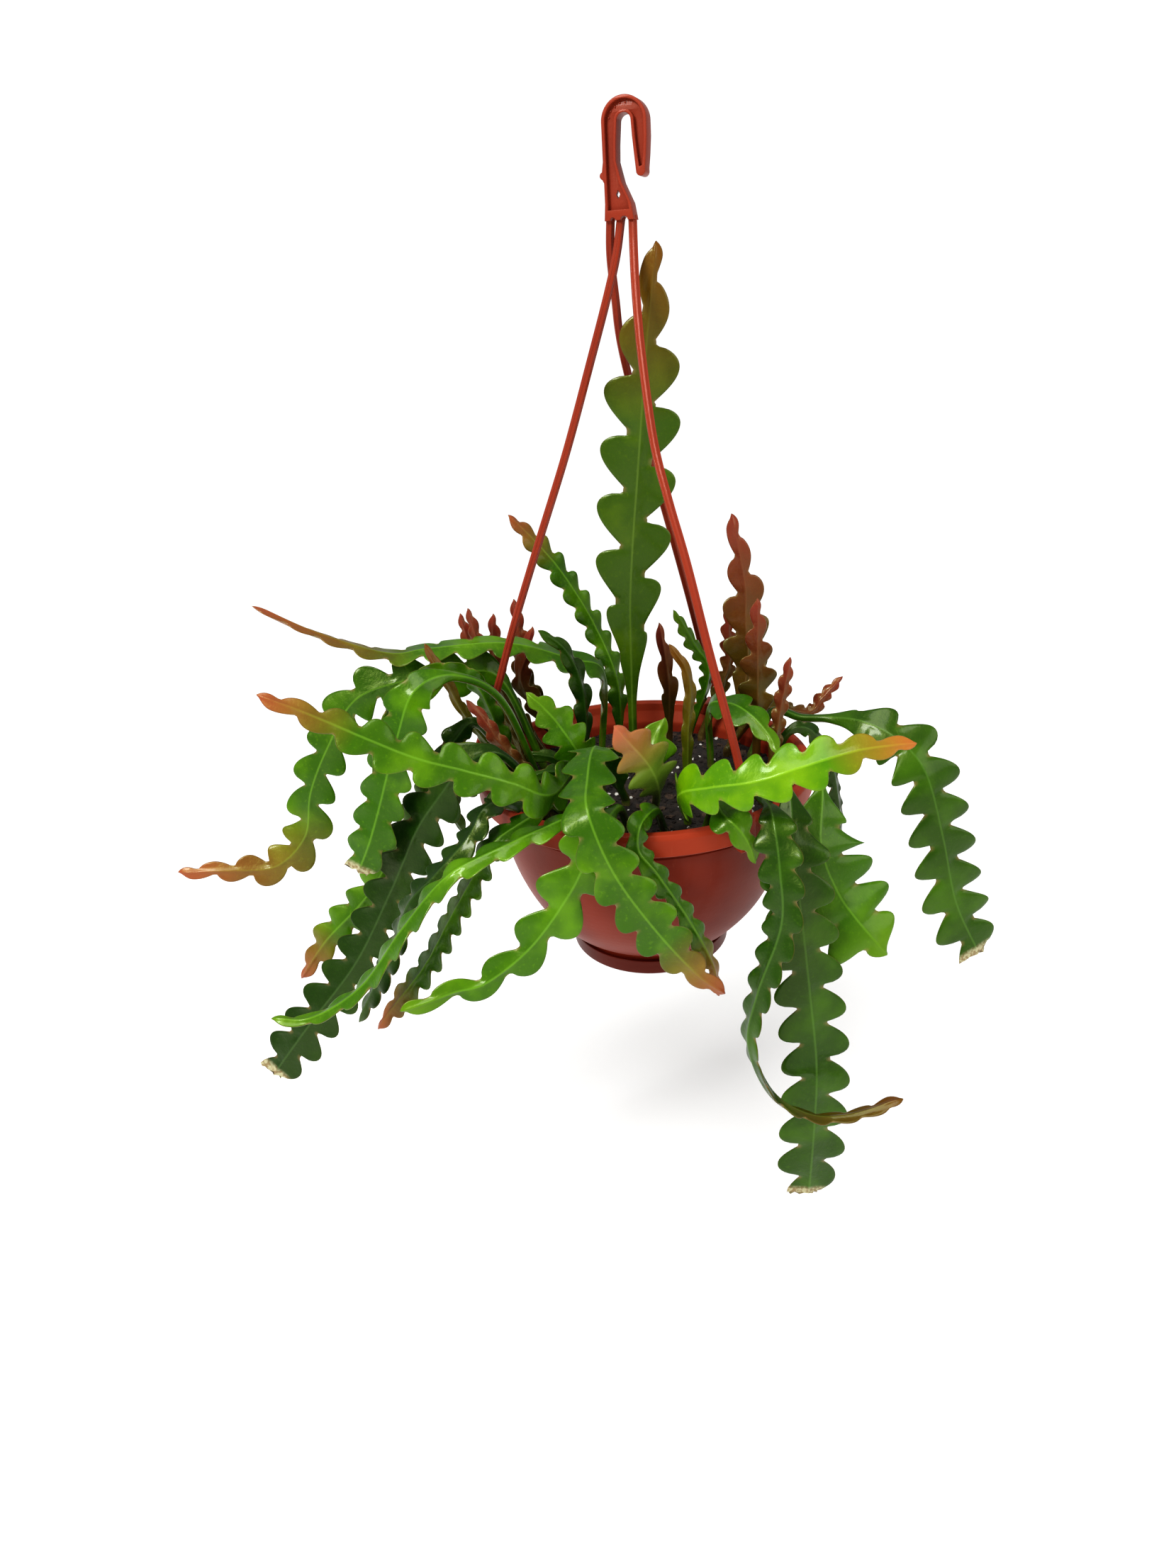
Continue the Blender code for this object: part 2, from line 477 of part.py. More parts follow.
def hook_plate(home):
    """Flat outline of hook, shank and three-legged plate, given its thickness and turned about the throat."""
    x = ARCH[0]
    outline = arc(ARCH, ARCH_OUTER, 180, 0, 18)
    outline += [(x + 11.8, -11), (x + 11.2, -19), (x + 10.4, HOOK_TIP + 4)]
    outline += arc((x + 8.0, HOOK_TIP + 2.4), 2.4, 0, -180, 6)
    outline += [(x + 4.9, -20), (x + 4.1, -11)] + arc(ARCH, ARCH_INNER, 0, 180, 10)
    outline += [(x - 4.6, -14), (x - 4.9, -22), (x - 2.4, -32), (x + 2.2, -42), (x + 3.6, PLATE_BOTTOM)]
    outline += [(x + 0.2, PLATE_BOTTOM)] + arc((x - 1.7, PLATE_BOTTOM), 1.9, 0, 180, 6)[1:]
    outline += [(x - 6.4, PLATE_BOTTOM)] + arc((x - 7.8, PLATE_BOTTOM), 1.4, 0, 180, 6)[1:]
    outline += [(x - 12.2, PLATE_BOTTOM), (x - 11.6, -42), (x - 11.6, -32)]
    outline += arc((x - 11.9, -28.5), 1.9, 250, 110, 6) + [(x - ARCH_OUTER, -22)]
    flat = bpy.data.curves.new("hook outline", "CURVE")
    flat.dimensions = "2D"
    flat.fill_mode = "BOTH"
    flat.extrude = HOOK_THICK / 2 * MM
    for ring in (outline, arc((x - 5.2, -37.5), 1.3, 0, 330, 11)):
        line = flat.splines.new("POLY")
        line.points.add(len(ring) - 1)
        for point, (across, up) in zip(line.points, ring):
            point.co = ((across - x) * MM, up * MM, 0, 1)
        line.use_cyclic_u = True
    shape = placed("hook curve", flat, home)
    shape.location.x = x * MM
    shape.rotation_euler = (math.radians(90), 0, math.radians(HOOK_TURN))
    bpy.context.view_layer.update()
    return placed("hanger", mesh_of(shape), home)


STRAPS = {
    "left": dict(clip=180, face=(0.6, -0.8, 0.2), route=[
        (-0.2, 1.4, -48), (-3.4, 0, -66), (-9, -1, -86), (-20, -1, -120), (-36, 0, -168), (-54, 0, -216),
        (-72, 0, -265), (-86, 0, -307), (-99, 0, -340), (-102.6, 0, -352)]),
    "back": dict(clip=60, face=(0.2, -1, 0.1), route=[
        (-5.8, 3.2, -48), (-6.6, 6, -66), (-5, 12, -88), (-2, 22, -117), (11, 44, -177),
        (20, 58, -212), (33, 73, -266), (43, 84, -310), (50.5, 88, -340), (51.3, 88.9, -352)]),
    "front": dict(clip=-60, face=(0.2, -1, 0.1), route=[
        (5.6, -0.5, -48), (5.4, -3.5, -66), (5.6, -10, -88), (7, -20, -117), (11, -34, -159), (17, -46, -188),
        (25, -58, -220), (34, -70, -262), (45, -83, -310), (50.5, -88, -340), (51.3, -88.9, -352)]),
}


def strap(name, spec, home):
    """A tapering flat strap from the plate down to the rim."""
    dense = smooth_route(spec["route"], 6)
    total = route_length(dense)
    spots, headings = along(dense, list(np.linspace(0, total, STRAP_STATIONS)))
    faces = carried_faces(headings, spec["face"])
    size = (STRAP_W / 2, STRAP_W / 2, STRAP_T / 2, STRAP_T / 2 - 0.4)
    return placed(name, blade_mesh(name, spots, headings, faces, [size] * STRAP_STATIONS), home)


def clip(name, angle, home):
    """A C-shaped clip round the rim band: over its top, down outside and under its lower edge."""
    foot = RIM_TOP - RIM_BAND - 1
    inside = RIM_R - 8 - CLEAR - CLIP_T
    outside = RIM_R + CLEAR + CLIP_T
    outline = [(inside, RIM_TOP - 5), (inside, RIM_TOP + CLEAR + CLIP_T), (outside, RIM_TOP + CLEAR + CLIP_T),
               (outside, foot - CLEAR - CLIP_T), (RIM_R - 3.4, foot - CLEAR - CLIP_T), (RIM_R - 3.4, foot - CLEAR),
               (RIM_R + CLEAR, foot - CLEAR), (RIM_R + CLEAR, RIM_TOP + CLEAR), (inside + CLIP_T, RIM_TOP + CLEAR),
               (inside + CLIP_T, RIM_TOP - 5)]
    flat = bpy.data.curves.new(name, "CURVE")
    flat.dimensions = "2D"
    flat.fill_mode = "BOTH"
    flat.extrude = CLIP_W / 2 * MM
    line = flat.splines.new("POLY")
    line.points.add(len(outline) - 1)
    for point, (x, z) in zip(line.points, outline):
        point.co = (x * MM, z * MM, 0, 1)
    line.use_cyclic_u = True
    shape = placed(name, flat, home)
    shape.rotation_euler = (math.radians(90), 0, math.radians(angle))
    bpy.context.view_layer.update()
    return placed(name, mesh_of(shape), home)


def hanger(home):
    """Hook, plate, three straps and their rim clips: one moulding."""
    body = hook_plate(home)
    limbs = collection("Hanger limbs")
    for name, spec in STRAPS.items():
        strap(name + " strap", spec, limbs)
        clip(name + " clip", spec["clip"], limbs)
    boolean(body, limbs, "UNION")
    body.data.materials.clear()
    body.data.materials.append(material("Hanger plastic", (0.46, 0.07, 0.03), 0.36))


def stems(home):
    finishes = {tone: material("Stem " + tone, colour, gloss) for tone, (colour, gloss) in TONES.items()}
    for name, spec in STEMS.items():
        sizes = {key: value for key, value in spec.items() if key != "tone"}
        placed("stem_" + name, stem("stem_" + name, **sizes), home, finishes[spec["tone"]])


def main():
    emptied_scene()
    home = collection("Fishbone cactus in hanging bowl")
    bowl_and_saucer(home)
    soil(home, [spec["route"][0] for spec in STEMS.values()])
    hanger(home)
    stems(home)


main()
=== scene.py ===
# Fishbone cactus in a terracotta-coloured hanging bowl: finishes and fine shapes over the solids.
import math
import bpy
import bmesh
import numpy as np
from mathutils import Matrix, Vector, noise


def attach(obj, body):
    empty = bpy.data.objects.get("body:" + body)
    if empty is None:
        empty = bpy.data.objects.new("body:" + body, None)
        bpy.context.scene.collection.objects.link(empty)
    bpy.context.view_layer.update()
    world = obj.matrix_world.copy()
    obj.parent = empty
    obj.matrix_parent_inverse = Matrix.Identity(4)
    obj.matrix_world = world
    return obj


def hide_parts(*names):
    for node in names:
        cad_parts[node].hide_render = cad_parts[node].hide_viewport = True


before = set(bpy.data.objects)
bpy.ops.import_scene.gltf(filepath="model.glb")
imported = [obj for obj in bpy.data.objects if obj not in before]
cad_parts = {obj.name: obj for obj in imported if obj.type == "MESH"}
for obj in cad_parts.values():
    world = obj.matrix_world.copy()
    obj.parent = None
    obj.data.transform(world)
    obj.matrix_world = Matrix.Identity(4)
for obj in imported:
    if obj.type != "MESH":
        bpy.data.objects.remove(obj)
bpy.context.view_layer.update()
mm = 0.001
soilTop = -371.0     # millimetres below the hook's bearing point


def mathNode(operation, swapped=False):
    # an operator of the class below, which adds one Math node
    def method(wire, other):
        return wire.maths(operation, *((other, wire) if swapped else (wire, other)))
    return method


class Wire:
    # One socket of a node tree. Sums on it add Math nodes, and node() adds any other node.
    def __init__(self, tree, socket=None):
        self.tree, self.socket = tree, socket

    def node(self, kind, settings=None, sockets=None, output=0):
        made = self.tree.nodes.new(kind)
        for name, value in (settings or {}).items():
            setattr(made, name, value)
        for name, value in (sockets or {}).items():
            if isinstance(value, Wire):
                self.tree.links.new(value.socket, made.inputs[name])
            else:
                made.inputs[name].default_value = value
        return Wire(self.tree, made.outputs[output])

    def maths(self, operation, *values):
        return self.node("ShaderNodeMath", {"operation": operation}, dict(enumerate(values)))

    __add__, __radd__ = mathNode("ADD"), mathNode("ADD", True)
    __sub__, __rsub__ = mathNode("SUBTRACT"), mathNode("SUBTRACT", True)
    __mul__, __rmul__ = mathNode("MULTIPLY"), mathNode("MULTIPLY", True)
    __truediv__, __rtruediv__ = mathNode("DIVIDE"), mathNode("DIVIDE", True)
    __pow__, __gt__ = mathNode("POWER"), mathNode("GREATER_THAN")
    least, most = mathNode("MINIMUM"), mathNode("MAXIMUM")

    def __abs__(self):
        return self.maths("ABSOLUTE", self)

    def ramp(self, low, high):
        # smooth step from 0 to 1 as the value goes from low to high
        return self.node("ShaderNodeMapRange", {"interpolation_type": "SMOOTHSTEP"},
                         {"Value": self, "From Min": low, "From Max": high})

    def axis(self, letter):
        return self.node("ShaderNodeSeparateXYZ", {}, {0: self}, letter)

    def vector(self, operation, *others, output=0):
        return self.node("ShaderNodeVectorMath", {"operation": operation},
                         dict(enumerate([self, *others])), output)

    def scaled(self, factor):
        return self.node("ShaderNodeVectorMath", {"operation": "SCALE"}, {0: self, "Scale": factor})

    def mixed(self, other, factor):
        # this colour turned to another one, a wire or plain, where the factor is 1
        other = other if isinstance(other, Wire) else (*other, 1)
        return self.node("ShaderNodeMix", {"data_type": "RGBA"}, {0: factor, 6: self, 7: other}, 2)


def colourOf(wire, colour):
    # a plain colour as a wire, so that others can be mixed into it
    made = wire.tree.nodes.new("ShaderNodeRGB")
    made.outputs[0].default_value = (*colour, 1)
    return Wire(wire.tree, made.outputs[0])


def placed(name, data):
    made = bpy.data.objects.new(name, data)
    bpy.context.scene.collection.objects.link(made)
    return made


def plainMesh(holder):
    # the mesh of an object with its modifiers applied; the object is deleted
    graph = bpy.context.evaluated_depsgraph_get()
    made = bpy.data.meshes.new_from_object(holder.evaluated_get(graph))
    holder.modifiers.clear()
    bpy.data.objects.remove(holder)
    return made


# Geometry Nodes: a tree with named inputs, and the plain mesh that it leaves.
def newTree(name, inputs):
    tree = bpy.data.node_groups.new(name, "GeometryNodeTree")
    tree.interface.new_socket("Geometry", in_out="OUTPUT", socket_type="NodeSocketGeometry")
    for label, kind in {"Geometry": "Geometry", **inputs, "Material": "Material"}.items():
        tree.interface.new_socket(label, in_out="INPUT", socket_type="NodeSocket" + kind)
    entry = tree.nodes.new("NodeGroupInput")
    return tree, {socket.name: Wire(tree, socket) for socket in entry.outputs if socket.name}


def closeTree(tree, geometry, given):
    made = geometry.node("GeometryNodeRealizeInstances", {}, {"Geometry": geometry})
    made = made.node("GeometryNodeSetMaterial", {}, {"Geometry": made, "Material": given["Material"]})
    last = tree.nodes.new("NodeGroupOutput")
    tree.links.new(made.socket, last.inputs["Geometry"])
    return tree


def grown(mesh, tree, values):
    # the plain mesh that the tree makes of a mesh with these inputs
    source = placed(tree.name, mesh)
    change = source.modifiers.new(tree.name, "NODES")
    change.node_group = tree
    for item in tree.interface.items_tree:
        if item.in_out == "INPUT" and item.name in values:
            change[item.identifier] = values[item.name]
    return plainMesh(source)


def tidied(mesh, merge=0.00001):
    # doubles merged and faces turned outwards
    shell = bmesh.new()
    shell.from_mesh(mesh)
    bmesh.ops.remove_doubles(shell, verts=shell.verts, dist=merge)
    bmesh.ops.recalc_face_normals(shell, faces=shell.faces)
    shell.to_mesh(mesh)
    shell.free()
    return mesh


def finished(name, mesh, slot, node=None, material=None, sharp=40):
    # a piece at the origin that hangs with the pot, and stands for a solid where one is named
    mesh.set_sharp_from_angle(angle=math.radians(sharp))
    if material:
        mesh.materials.clear()
        mesh.materials.append(material)
    piece = placed(name, mesh)
    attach(piece, "root")
    if node:
        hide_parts(node)


def newMaterial(name):
    # an empty material: its tree as a wire, its shader, and the place on the object
    made = bpy.data.materials.new(name)
    made.use_nodes = True
    wire = Wire(made.node_tree)
    place = wire.node("ShaderNodeTexCoord", {}, {}, "Object")
    return made, wire, made.node_tree.nodes["Principled BSDF"], place


def feed(shader, wire, socket):
    wire.tree.links.new(wire.socket, shader.inputs[socket])


def setAll(shader, values):
    # numbers and colours that are the same all over the surface
    for socket, value in values.items():
        shader.inputs[socket].default_value = value


def speckle(place, scale, detail=2.0, rough=0.5):
    return place.node("ShaderNodeTexNoise", {}, {"Vector": place, "Scale": scale, "Detail": detail,
                                                 "Roughness": rough})


def bump(wire, height, strength, distance):
    return wire.node("ShaderNodeBump", {},
                     {"Height": height, "Strength": strength, "Distance": distance})


# Stems: what most of them share, then each one's own, in millimetres from the hook's bearing point.
# A route starts at its planting hole (x, y), and goes on through the points that the stem passes.
plainStem = dict(notch=0.5, face=(0, -0.95, 0.3), tone="green", cut=0, stalk=38, twist=0)
stemShapes = {
    "tall": dict(width=44, pitch=34, notch=0.7, face=(0, -1, 0.1), tone="olive", blush=95, stalk=66,
        swell=105, taper=90,
        route=[(-6, 22), (-5, 20, -306), (-4, 18, -261), (-1, 16, -223), (3, 14, -186), (7, 10, -147),
        (11, 5, -109), (15, 2, -78), (17, 1, -61)]),
    "left_diagonal": dict(width=18, pitch=14, face=(0.3, -0.8, 0.5), tone="bronze_tip",
        route=[(-14, 54), (-15, 52, -321), (-27, 54, -285), (-43, 52, -253), (-57, 50, -232),
        (-75, 45, -209)]),
    "left_sweep": dict(width=22, pitch=21, face=(0, 0.1, 1), tone="bronze_tip", blush=100, taper=110,
        twist=-50,
        route=[(-26, 40), (-23, 36, -311), (-42, 28, -298), (-79, 15, -282), (-123, 5, -280),
        (-148, 0, -280), (-187, -6, -263), (-220, -8, -244)]),
    "left_front": dict(width=25, pitch=20, notch=0.55, face=(-0.1, -0.75, 0.65), tone="bronze_tip",
        blush=50, stalk=68, taper=75,
        route=[(-30, -32), (-38, -60, -330), (-51, -96, -328), (-69, -110, -314), (-91, -117, -303),
        (-112, -121, -294), (-133, -124, -282), (-157, -126, -268), (-182, -126, -256)]),
    "left_fall": dict(width=31, pitch=22, notch=0.66, face=(-0.1, -0.95, 0.3), tone="bronze_tip",
        blush=110, stalk=80, taper=95,
        route=[(-62, 22), (-84, 20, -306), (-109, 14, -297), (-139, 10, -299), (-171, 8, -309),
        (-191, 6, -338), (-205, 4, -367), (-212, 2, -396), (-233, 0, -415), (-263, -3, -415),
        (-293, -5, -414)]),
    "left_broad": dict(width=28, pitch=16, notch=0.42, face=(-0.1, -0.95, 0.2), slot="lime", blush=10,
        cut=True, stalk=130, swell=40, taper=24,
        route=[(-60, -14), (-79, -28, -302), (-102, -46, -279), (-121, -60, -281), (-132, -64, -305),
        (-139, -66, -325), (-146, -68, -346), (-153, -70, -365), (-161, -70, -382)]),
    "left_narrow": dict(width=14, pitch=13, notch=0.45, face=(0.9, -0.4, 0.1),
        route=[(-74, -10), (-93, -19, -294), (-117, -29, -280), (-135, -35, -292), (-144, -38, -308),
        (-151, -39, -330), (-154, -40, -346)]),
    "left_dark": dict(width=33, pitch=19, notch=0.62, face=(-0.25, -0.95, 0.15), tone="dark",
        cut=True, stalk=76, taper=24,
        route=[(-54, -36), (-79, -52, -324), (-98, -60, -325), (-113, -61, -342), (-127, -61, -361),
        (-137, -62, -381), (-147, -62, -401), (-170, -66, -442), (-201, -70, -480),
        (-226, -72, -512)]),
    "left_ribbon": dict(width=16, pitch=20, face=(-0.5, -0.35, 0.8), stalk=66, taper=90,
        route=[(-24, -54), (-28, -80, -344), (-42, -97, -342), (-76, -114, -349), (-102, -122, -359),
        (-126, -126, -385), (-150, -128, -416), (-179, -128, -434), (-200, -128, -433)]),
    "left_drop_a": dict(width=18, pitch=13, face=(-0.7, -0.6, 0.4), tone="dark", stalk=64,
        route=[(-48, -42), (-60, -64, -345), (-68, -78, -342), (-83, -94, -335), (-93, -103, -348),
        (-111, -108, -366), (-126, -108, -382), (-138, -108, -410), (-161, -108, -452)]),
    "left_drop_b": dict(width=18, pitch=13, face=(-0.6, -0.7, 0.4), tone="bronze_tip", stalk=64,
        route=[(-40, -60), (-50, -76, -344), (-58, -88, -343), (-81, -102, -352), (-90, -101, -368),
        (-106, -97, -396), (-124, -94, -428), (-144, -92, -454), (-156, -92, -469)]),
    "front_left": dict(width=40, pitch=30, notch=0.7, face=(-0.1, -0.97, 0.2), blush=34, stalk=66,
        taper=150,
        route=[(-12, -58), (-16, -82, -344), (-24, -106, -341), (-32, -114, -353), (-42, -117, -372),
        (-63, -120, -400), (-87, -124, -418), (-105, -128, -421), (-131, -134, -427)]),
    "front_mid": dict(width=29, pitch=18, notch=0.48, face=(0, -0.97, 0.2), tone="bronze_tip",
        blush=50, taper=62,
        route=[(-12, -26), (-26, -66, -317), (-31, -104, -321), (-30, -124, -328), (-19, -130, -356),
        (0, -128, -389), (20, -122, -419), (35, -118, -435)]),
    "front_thin": dict(width=14, pitch=13, face=(0.5, -0.85, 0.2), tone="bronze_tip", stalk=50,
        taper=50,
        route=[(8, -64), (3, -84, -345), (-6, -104, -343), (-7, -108, -356), (1, -110, -367),
        (16, -109, -394), (28, -108, -421), (33, -106, -445)]),
    "centre_pink": dict(width=30, pitch=18, face=(0, -0.92, 0.4), tone="rosy", stalk=56, swell=22,
        taper=30,
        route=[(4, -44), (5, -64, -346), (4, -80, -330), (-1, -93, -313), (-9, -103, -298),
        (-16, -110, -286)]),
    "right_lime": dict(width=27, pitch=18, notch=0.52, face=(0, -0.85, 0.55), tone="lime", taper=60,
        route=[(22, -54), (17, -90, -334), (31, -104, -324), (52, -114, -317), (74, -117, -309),
        (101, -116, -302), (130, -112, -301)]),
    # right_arch, right_long and right_ribbon take the deep tone, the green darkened as painted shade
    "right_arch": dict(width=42, pitch=21, notch=0.66, face=(0.15, -0.97, 0.2), tone="deep", cut=True,
        stalk=88, swell=60, taper=26,
        route=[(68, 28), (82, 34, -340), (100, 30, -343), (118, 24, -342), (135, 12, -341),
        (153, 0, -349), (166, -10, -366), (176, -15, -405), (185, -18, -448), (200, -20, -483)]),
    "right_long": dict(width=38, pitch=22, notch=0.62, face=(0.05, -1, 0.1), tone="deep", cut=True,
        stalk=78, taper=26,
        route=[(50, -38), (64, -58, -342), (74, -75, -342), (73, -98, -363), (76, -104, -396),
        (81, -105, -446), (85, -105, -493), (84, -105, -536), (82, -103, -581)]),
    "right_ribbon": dict(width=28, pitch=16, notch=0.45, face=(0.2, -0.2, 0.95), tone="deep",
        blush=90, stalk=76, taper=300, twist=-110,
        route=[(44, -56), (54, -70, -344), (60, -84, -343), (62, -103, -342), (64, -116, -365),
        (64, -122, -393), (52, -124, -431), (47, -124, -462), (58, -124, -494), (79, -124, -510),
        (102, -124, -510), (128, -122, -502)]),
    "right_fan": dict(width=54, pitch=21, notch=0.58, face=(0.4, -0.9, 0.2), stalk=92, swell=30,
        taper=22,
        route=[(64, -20), (80, -42, -342), (93, -62, -340), (90, -82, -371), (98, -86, -396),
        (108, -89, -412), (120, -92, -427), (125, -93, -432)]),
    "right_back": dict(width=12, pitch=11, notch=0.45, face=(0.6, -0.7, 0.2), tone="dark", stalk=50,
        route=[(76, 6), (88, 8, -343), (102, 10, -344), (114, 12, -368), (118, 12, -389),
        (120, 12, -408), (118, 12, -429)]),
    "bronze_tall": dict(width=31, pitch=26, notch=0.62, tone="bronze", blush=90, stalk=50, taper=80,
        route=[(58, 50), (69, 52, -315), (68, 52, -286), (68, 52, -263), (64, 50, -238),
        (60, 50, -216)]),
    "bronze_mid": dict(width=24, pitch=17, notch=0.62, tone="bronze", stalk=46, taper=55,
        route=[(70, 18), (71, 18, -314), (71, 18, -288), (71, 18, -261)]),
    "bronze_thin": dict(width=12, pitch=11, notch=0.6, tone="bronze",
        route=[(40, 64), (58, 68, -322), (59, 68, -299), (59, 68, -279)]),
    "bronze_low": dict(width=10, pitch=10, tone="bronze",
        route=[(74, -10), (81, -4, -324), (84, -4, -307), (87, -4, -291)]),
    "bronze_lean": dict(width=10, pitch=9, tone="bronze",
        route=[(54, 38), (78, 48, -343), (108, 54, -349), (118, 56, -340), (131, 58, -327)]),
    "bud_brown": dict(width=14, pitch=20, notch=0.55, tone="bronze",
        route=[(18, 58), (19, 54, -330), (17, 54, -306), (14, 54, -284)]),
    "bud_thin": dict(width=8, pitch=18, notch=0.3, tone="olive",
        route=[(24, -24), (25, -26, -327), (27, -25, -301), (24, -25, -286), (16, -25, -273)]),
    "bud_green": dict(width=12, pitch=10, face=(0.5, -0.8, 0.3),
        route=[(32, 66), (45, 68, -324), (36, 68, -304), (24, 68, -280)]),
    "red_a": dict(width=10, pitch=11, tone="bronze",
        route=[(-70, 30), (-100, 34, -310), (-104, 34, -286), (-108, 34, -266)]),
    "red_b": dict(width=10, pitch=11, tone="bronze",
        route=[(-72, 14), (-94, 27, -309), (-98, 27, -281), (-102, 27, -261)]),
    "red_c": dict(width=14, pitch=13, notch=0.55, tone="bronze",
        route=[(-62, 42), (-87, 42, -320), (-90, 44, -295), (-89, 44, -270)]),
    "red_d": dict(width=13, pitch=13, tone="bronze",
        route=[(-50, 56), (-74, 58, -316), (-75, 58, -289), (-77, 58, -265)]),
    "red_e": dict(width=15, pitch=16, notch=0.55, tone="bronze",
        route=[(-46, 40), (-73, 42, -318), (-70, 42, -298), (-65, 42, -279)]),
    "stalk_brown": dict(width=7, pitch=16, notch=0.3, tone="olive",
        route=[(-74, 2), (-101, -11, -319), (-112, -12, -294), (-123, -12, -270)]),
    "shoot_orange": dict(width=10, pitch=12, notch=0.4, tone="bronze",
        route=[(-46, -16), (-68, -32, -343), (-82, -36, -322), (-90, -37, -307), (-98, -38, -296)]),
    "centre_left": dict(width=26, pitch=13, face=(0.1, -0.9, 0.4), taper=30,
        route=[(-26, -8), (-39, -30, -332), (-49, -28, -316), (-57, -25, -307), (-66, -22, -299)]),
    "dark_hook": dict(width=16, pitch=20, face=(0.2, -0.8, 0.5), tone="dark",
        route=[(-36, 10), (-35, 8, -320), (-39, 4, -294), (-46, 0, -279), (-58, -4, -268)]),
    "centre_leaf": dict(width=34, pitch=18, stalk=36, taper=26,
        route=[(6, -8), (5, -20, -346), (8, -16, -333), (13, -12, -322)]),
    "right_inner": dict(width=24, pitch=17, face=(0.1, -0.8, 0.6),
        route=[(42, 22), (42, 18, -330), (53, 8, -324), (63, -4, -326), (72, -14, -334),
        (77, -24, -343)]),
    "front_right": dict(width=26, pitch=17, face=(0.2, -0.95, 0.3), stalk=50,
        route=[(30, -70), (35, -82, -344), (38, -98, -343), (44, -104, -347), (49, -105, -355),
        (53, -105, -367)]),
    "left_back": dict(width=20, pitch=16, face=(-0.3, -0.9, 0.3), tone="dark", stalk=82,
        route=[(-66, -24), (-92, -28, -316), (-106, -30, -321), (-114, -32, -337), (-115, -32, -359),
        (-107, -32, -381)]),
    "inner_a": dict(width=24, pitch=18, face=(-0.1, -0.8, 0.6), tone="dark",
        route=[(-40, 14), (-52, 2, -352), (-62, 0, -348), (-72, 0, -347)]),
    "inner_b": dict(width=18, pitch=18, face=(-0.1, -0.8, 0.6), tone="dark",
        route=[(-40, -26), (-50, -44, -340), (-66, -52, -338)]),
    "left_rim": dict(width=22, pitch=16, face=(-0.2, -0.8, 0.6), tone="dark",
        route=[(-58, -44), (-68, -56, -345), (-80, -66, -343), (-92, -74, -353)]),
    "left_hidden": dict(width=24, pitch=17, face=(-0.3, -0.9, 0.2), tone="bronze_tip", stalk=62,
        route=[(-66, -38), (-88, -46, -327), (-111, -47, -338), (-137, -46, -371), (-164, -46, -411),
        (-192, -46, -440), (-211, -46, -466)]),
}

stemForm = {
    "footDepth": 19.65,         # how far a stem reaches into the soil
    "straight": 5.0,            # it rises this far before it bends
    "stalkWidth": 5.2, "stalkThick": 4.4, "ribThick": 3.4, "marginThick": 1.3,
    "stalkStep": 11.0,          # between two places of the stalk that have a facing of their own
    "spacing": 1.4,             # between two rings of the skin
    "ringPoints": 26,
    "swell": 1.6, "taper": 2.4,         # in pitches, for a stem that names none
    "tipPart": 0.15, "cutPart": 0.45,   # part of the width left at a tip, and what a cut one adds
    "bay": 0.1,                 # part of the pitch between two lobes
    "crest": 0.62, "fall": 0.381,       # a lobe's widest place, and the way from there to its end
    "lean": 0.1,                # how far a lobe leans to the tip, as a part of the pitch
    "ridge": 0.55, "ridgeWidth": 0.9,   # the raised midrib
    "wave": 0.9,                # lobes bend out of the blade's plane by this much
    "cup": 0.0022,              # how fast the blade curls back, with the square of its width
    "ragged": 9.0, "raggedLength": 6.0,     # the torn end of a cut stem
    "tipRound": 9.0,            # length over which a whole tip closes
    "bud": (0.09, 0.03),        # a bud comes up between these parts of the pitch from its notch
}


def smoothRoute(points, pieces=12):
    path = [Vector(point) for point in points]
    path = [path[0] * 2 - path[1]] + path + [path[-1] * 2 - path[-2]]
    dense = []
    for a, b, c, d in zip(path, path[1:], path[2:], path[3:]):
        for step in range(pieces):
            t = step / pieces
            dense.append(0.5 * (2 * b + (c - a) * t + (2 * a - 5 * b + 4 * c - d) * t * t
                                + (3 * b - a - 3 * c + d) * t ** 3))
    return dense + [path[-2]]


def lengthsOf(line):
    steps = np.linalg.norm(np.diff(line, axis=0), axis=1)
    return np.concatenate([[0.0], np.cumsum(steps)])


def along(line, run, lengths):
    return np.stack([np.interp(lengths, run, line[:, k]) for k in range(3)], axis=1)


def headingsAt(line, run, lengths):
    reach = 1.5
    heading = along(line, run, np.add(lengths, reach)) - along(line, run, np.subtract(lengths, reach))
    return heading / np.linalg.norm(heading, axis=1)[:, None]


def carriedFaces(headings, tipFace, twist):
    # the blade's facing carried back from its tip, turned by twist degrees on the way
    face = np.array(tipFace, float)
    faces = []
    for k, heading in enumerate(headings[::-1]):
        face = face - heading * face.dot(heading)
        face = face / np.linalg.norm(face)
        turn = math.radians(twist) * k / (len(headings) - 1)
        faces.append(face * math.cos(turn) + np.cross(heading, face) * math.sin(turn))
    return np.array(faces[::-1])


def railMesh(name, line, run, lengths, faces, stations):
    # a bare line with its facing stored on it, for a tree to sweep along
    spots = along(line, run, lengths)
    mesh = bpy.data.meshes.new(name)
    steps = [(k, k + 1) for k in range(len(spots) - 1)]
    mesh.from_pydata([tuple(spot * mm) for spot in spots], steps, [])
    facing = np.stack([np.interp(lengths, stations, faces[:, k]) for k in range(3)], axis=1)
    store = mesh.attributes.new("facing", "FLOAT_VECTOR", "POINT")
    store.data.foreach_set("vector", facing.astype(np.float32).ravel())
    return mesh


def kept(geometry, name, value, kind="FLOAT"):
    return geometry.node("GeometryNodeStoreNamedAttribute", {"data_type": kind},
                         {"Geometry": geometry, "Name": name, "Value": value})


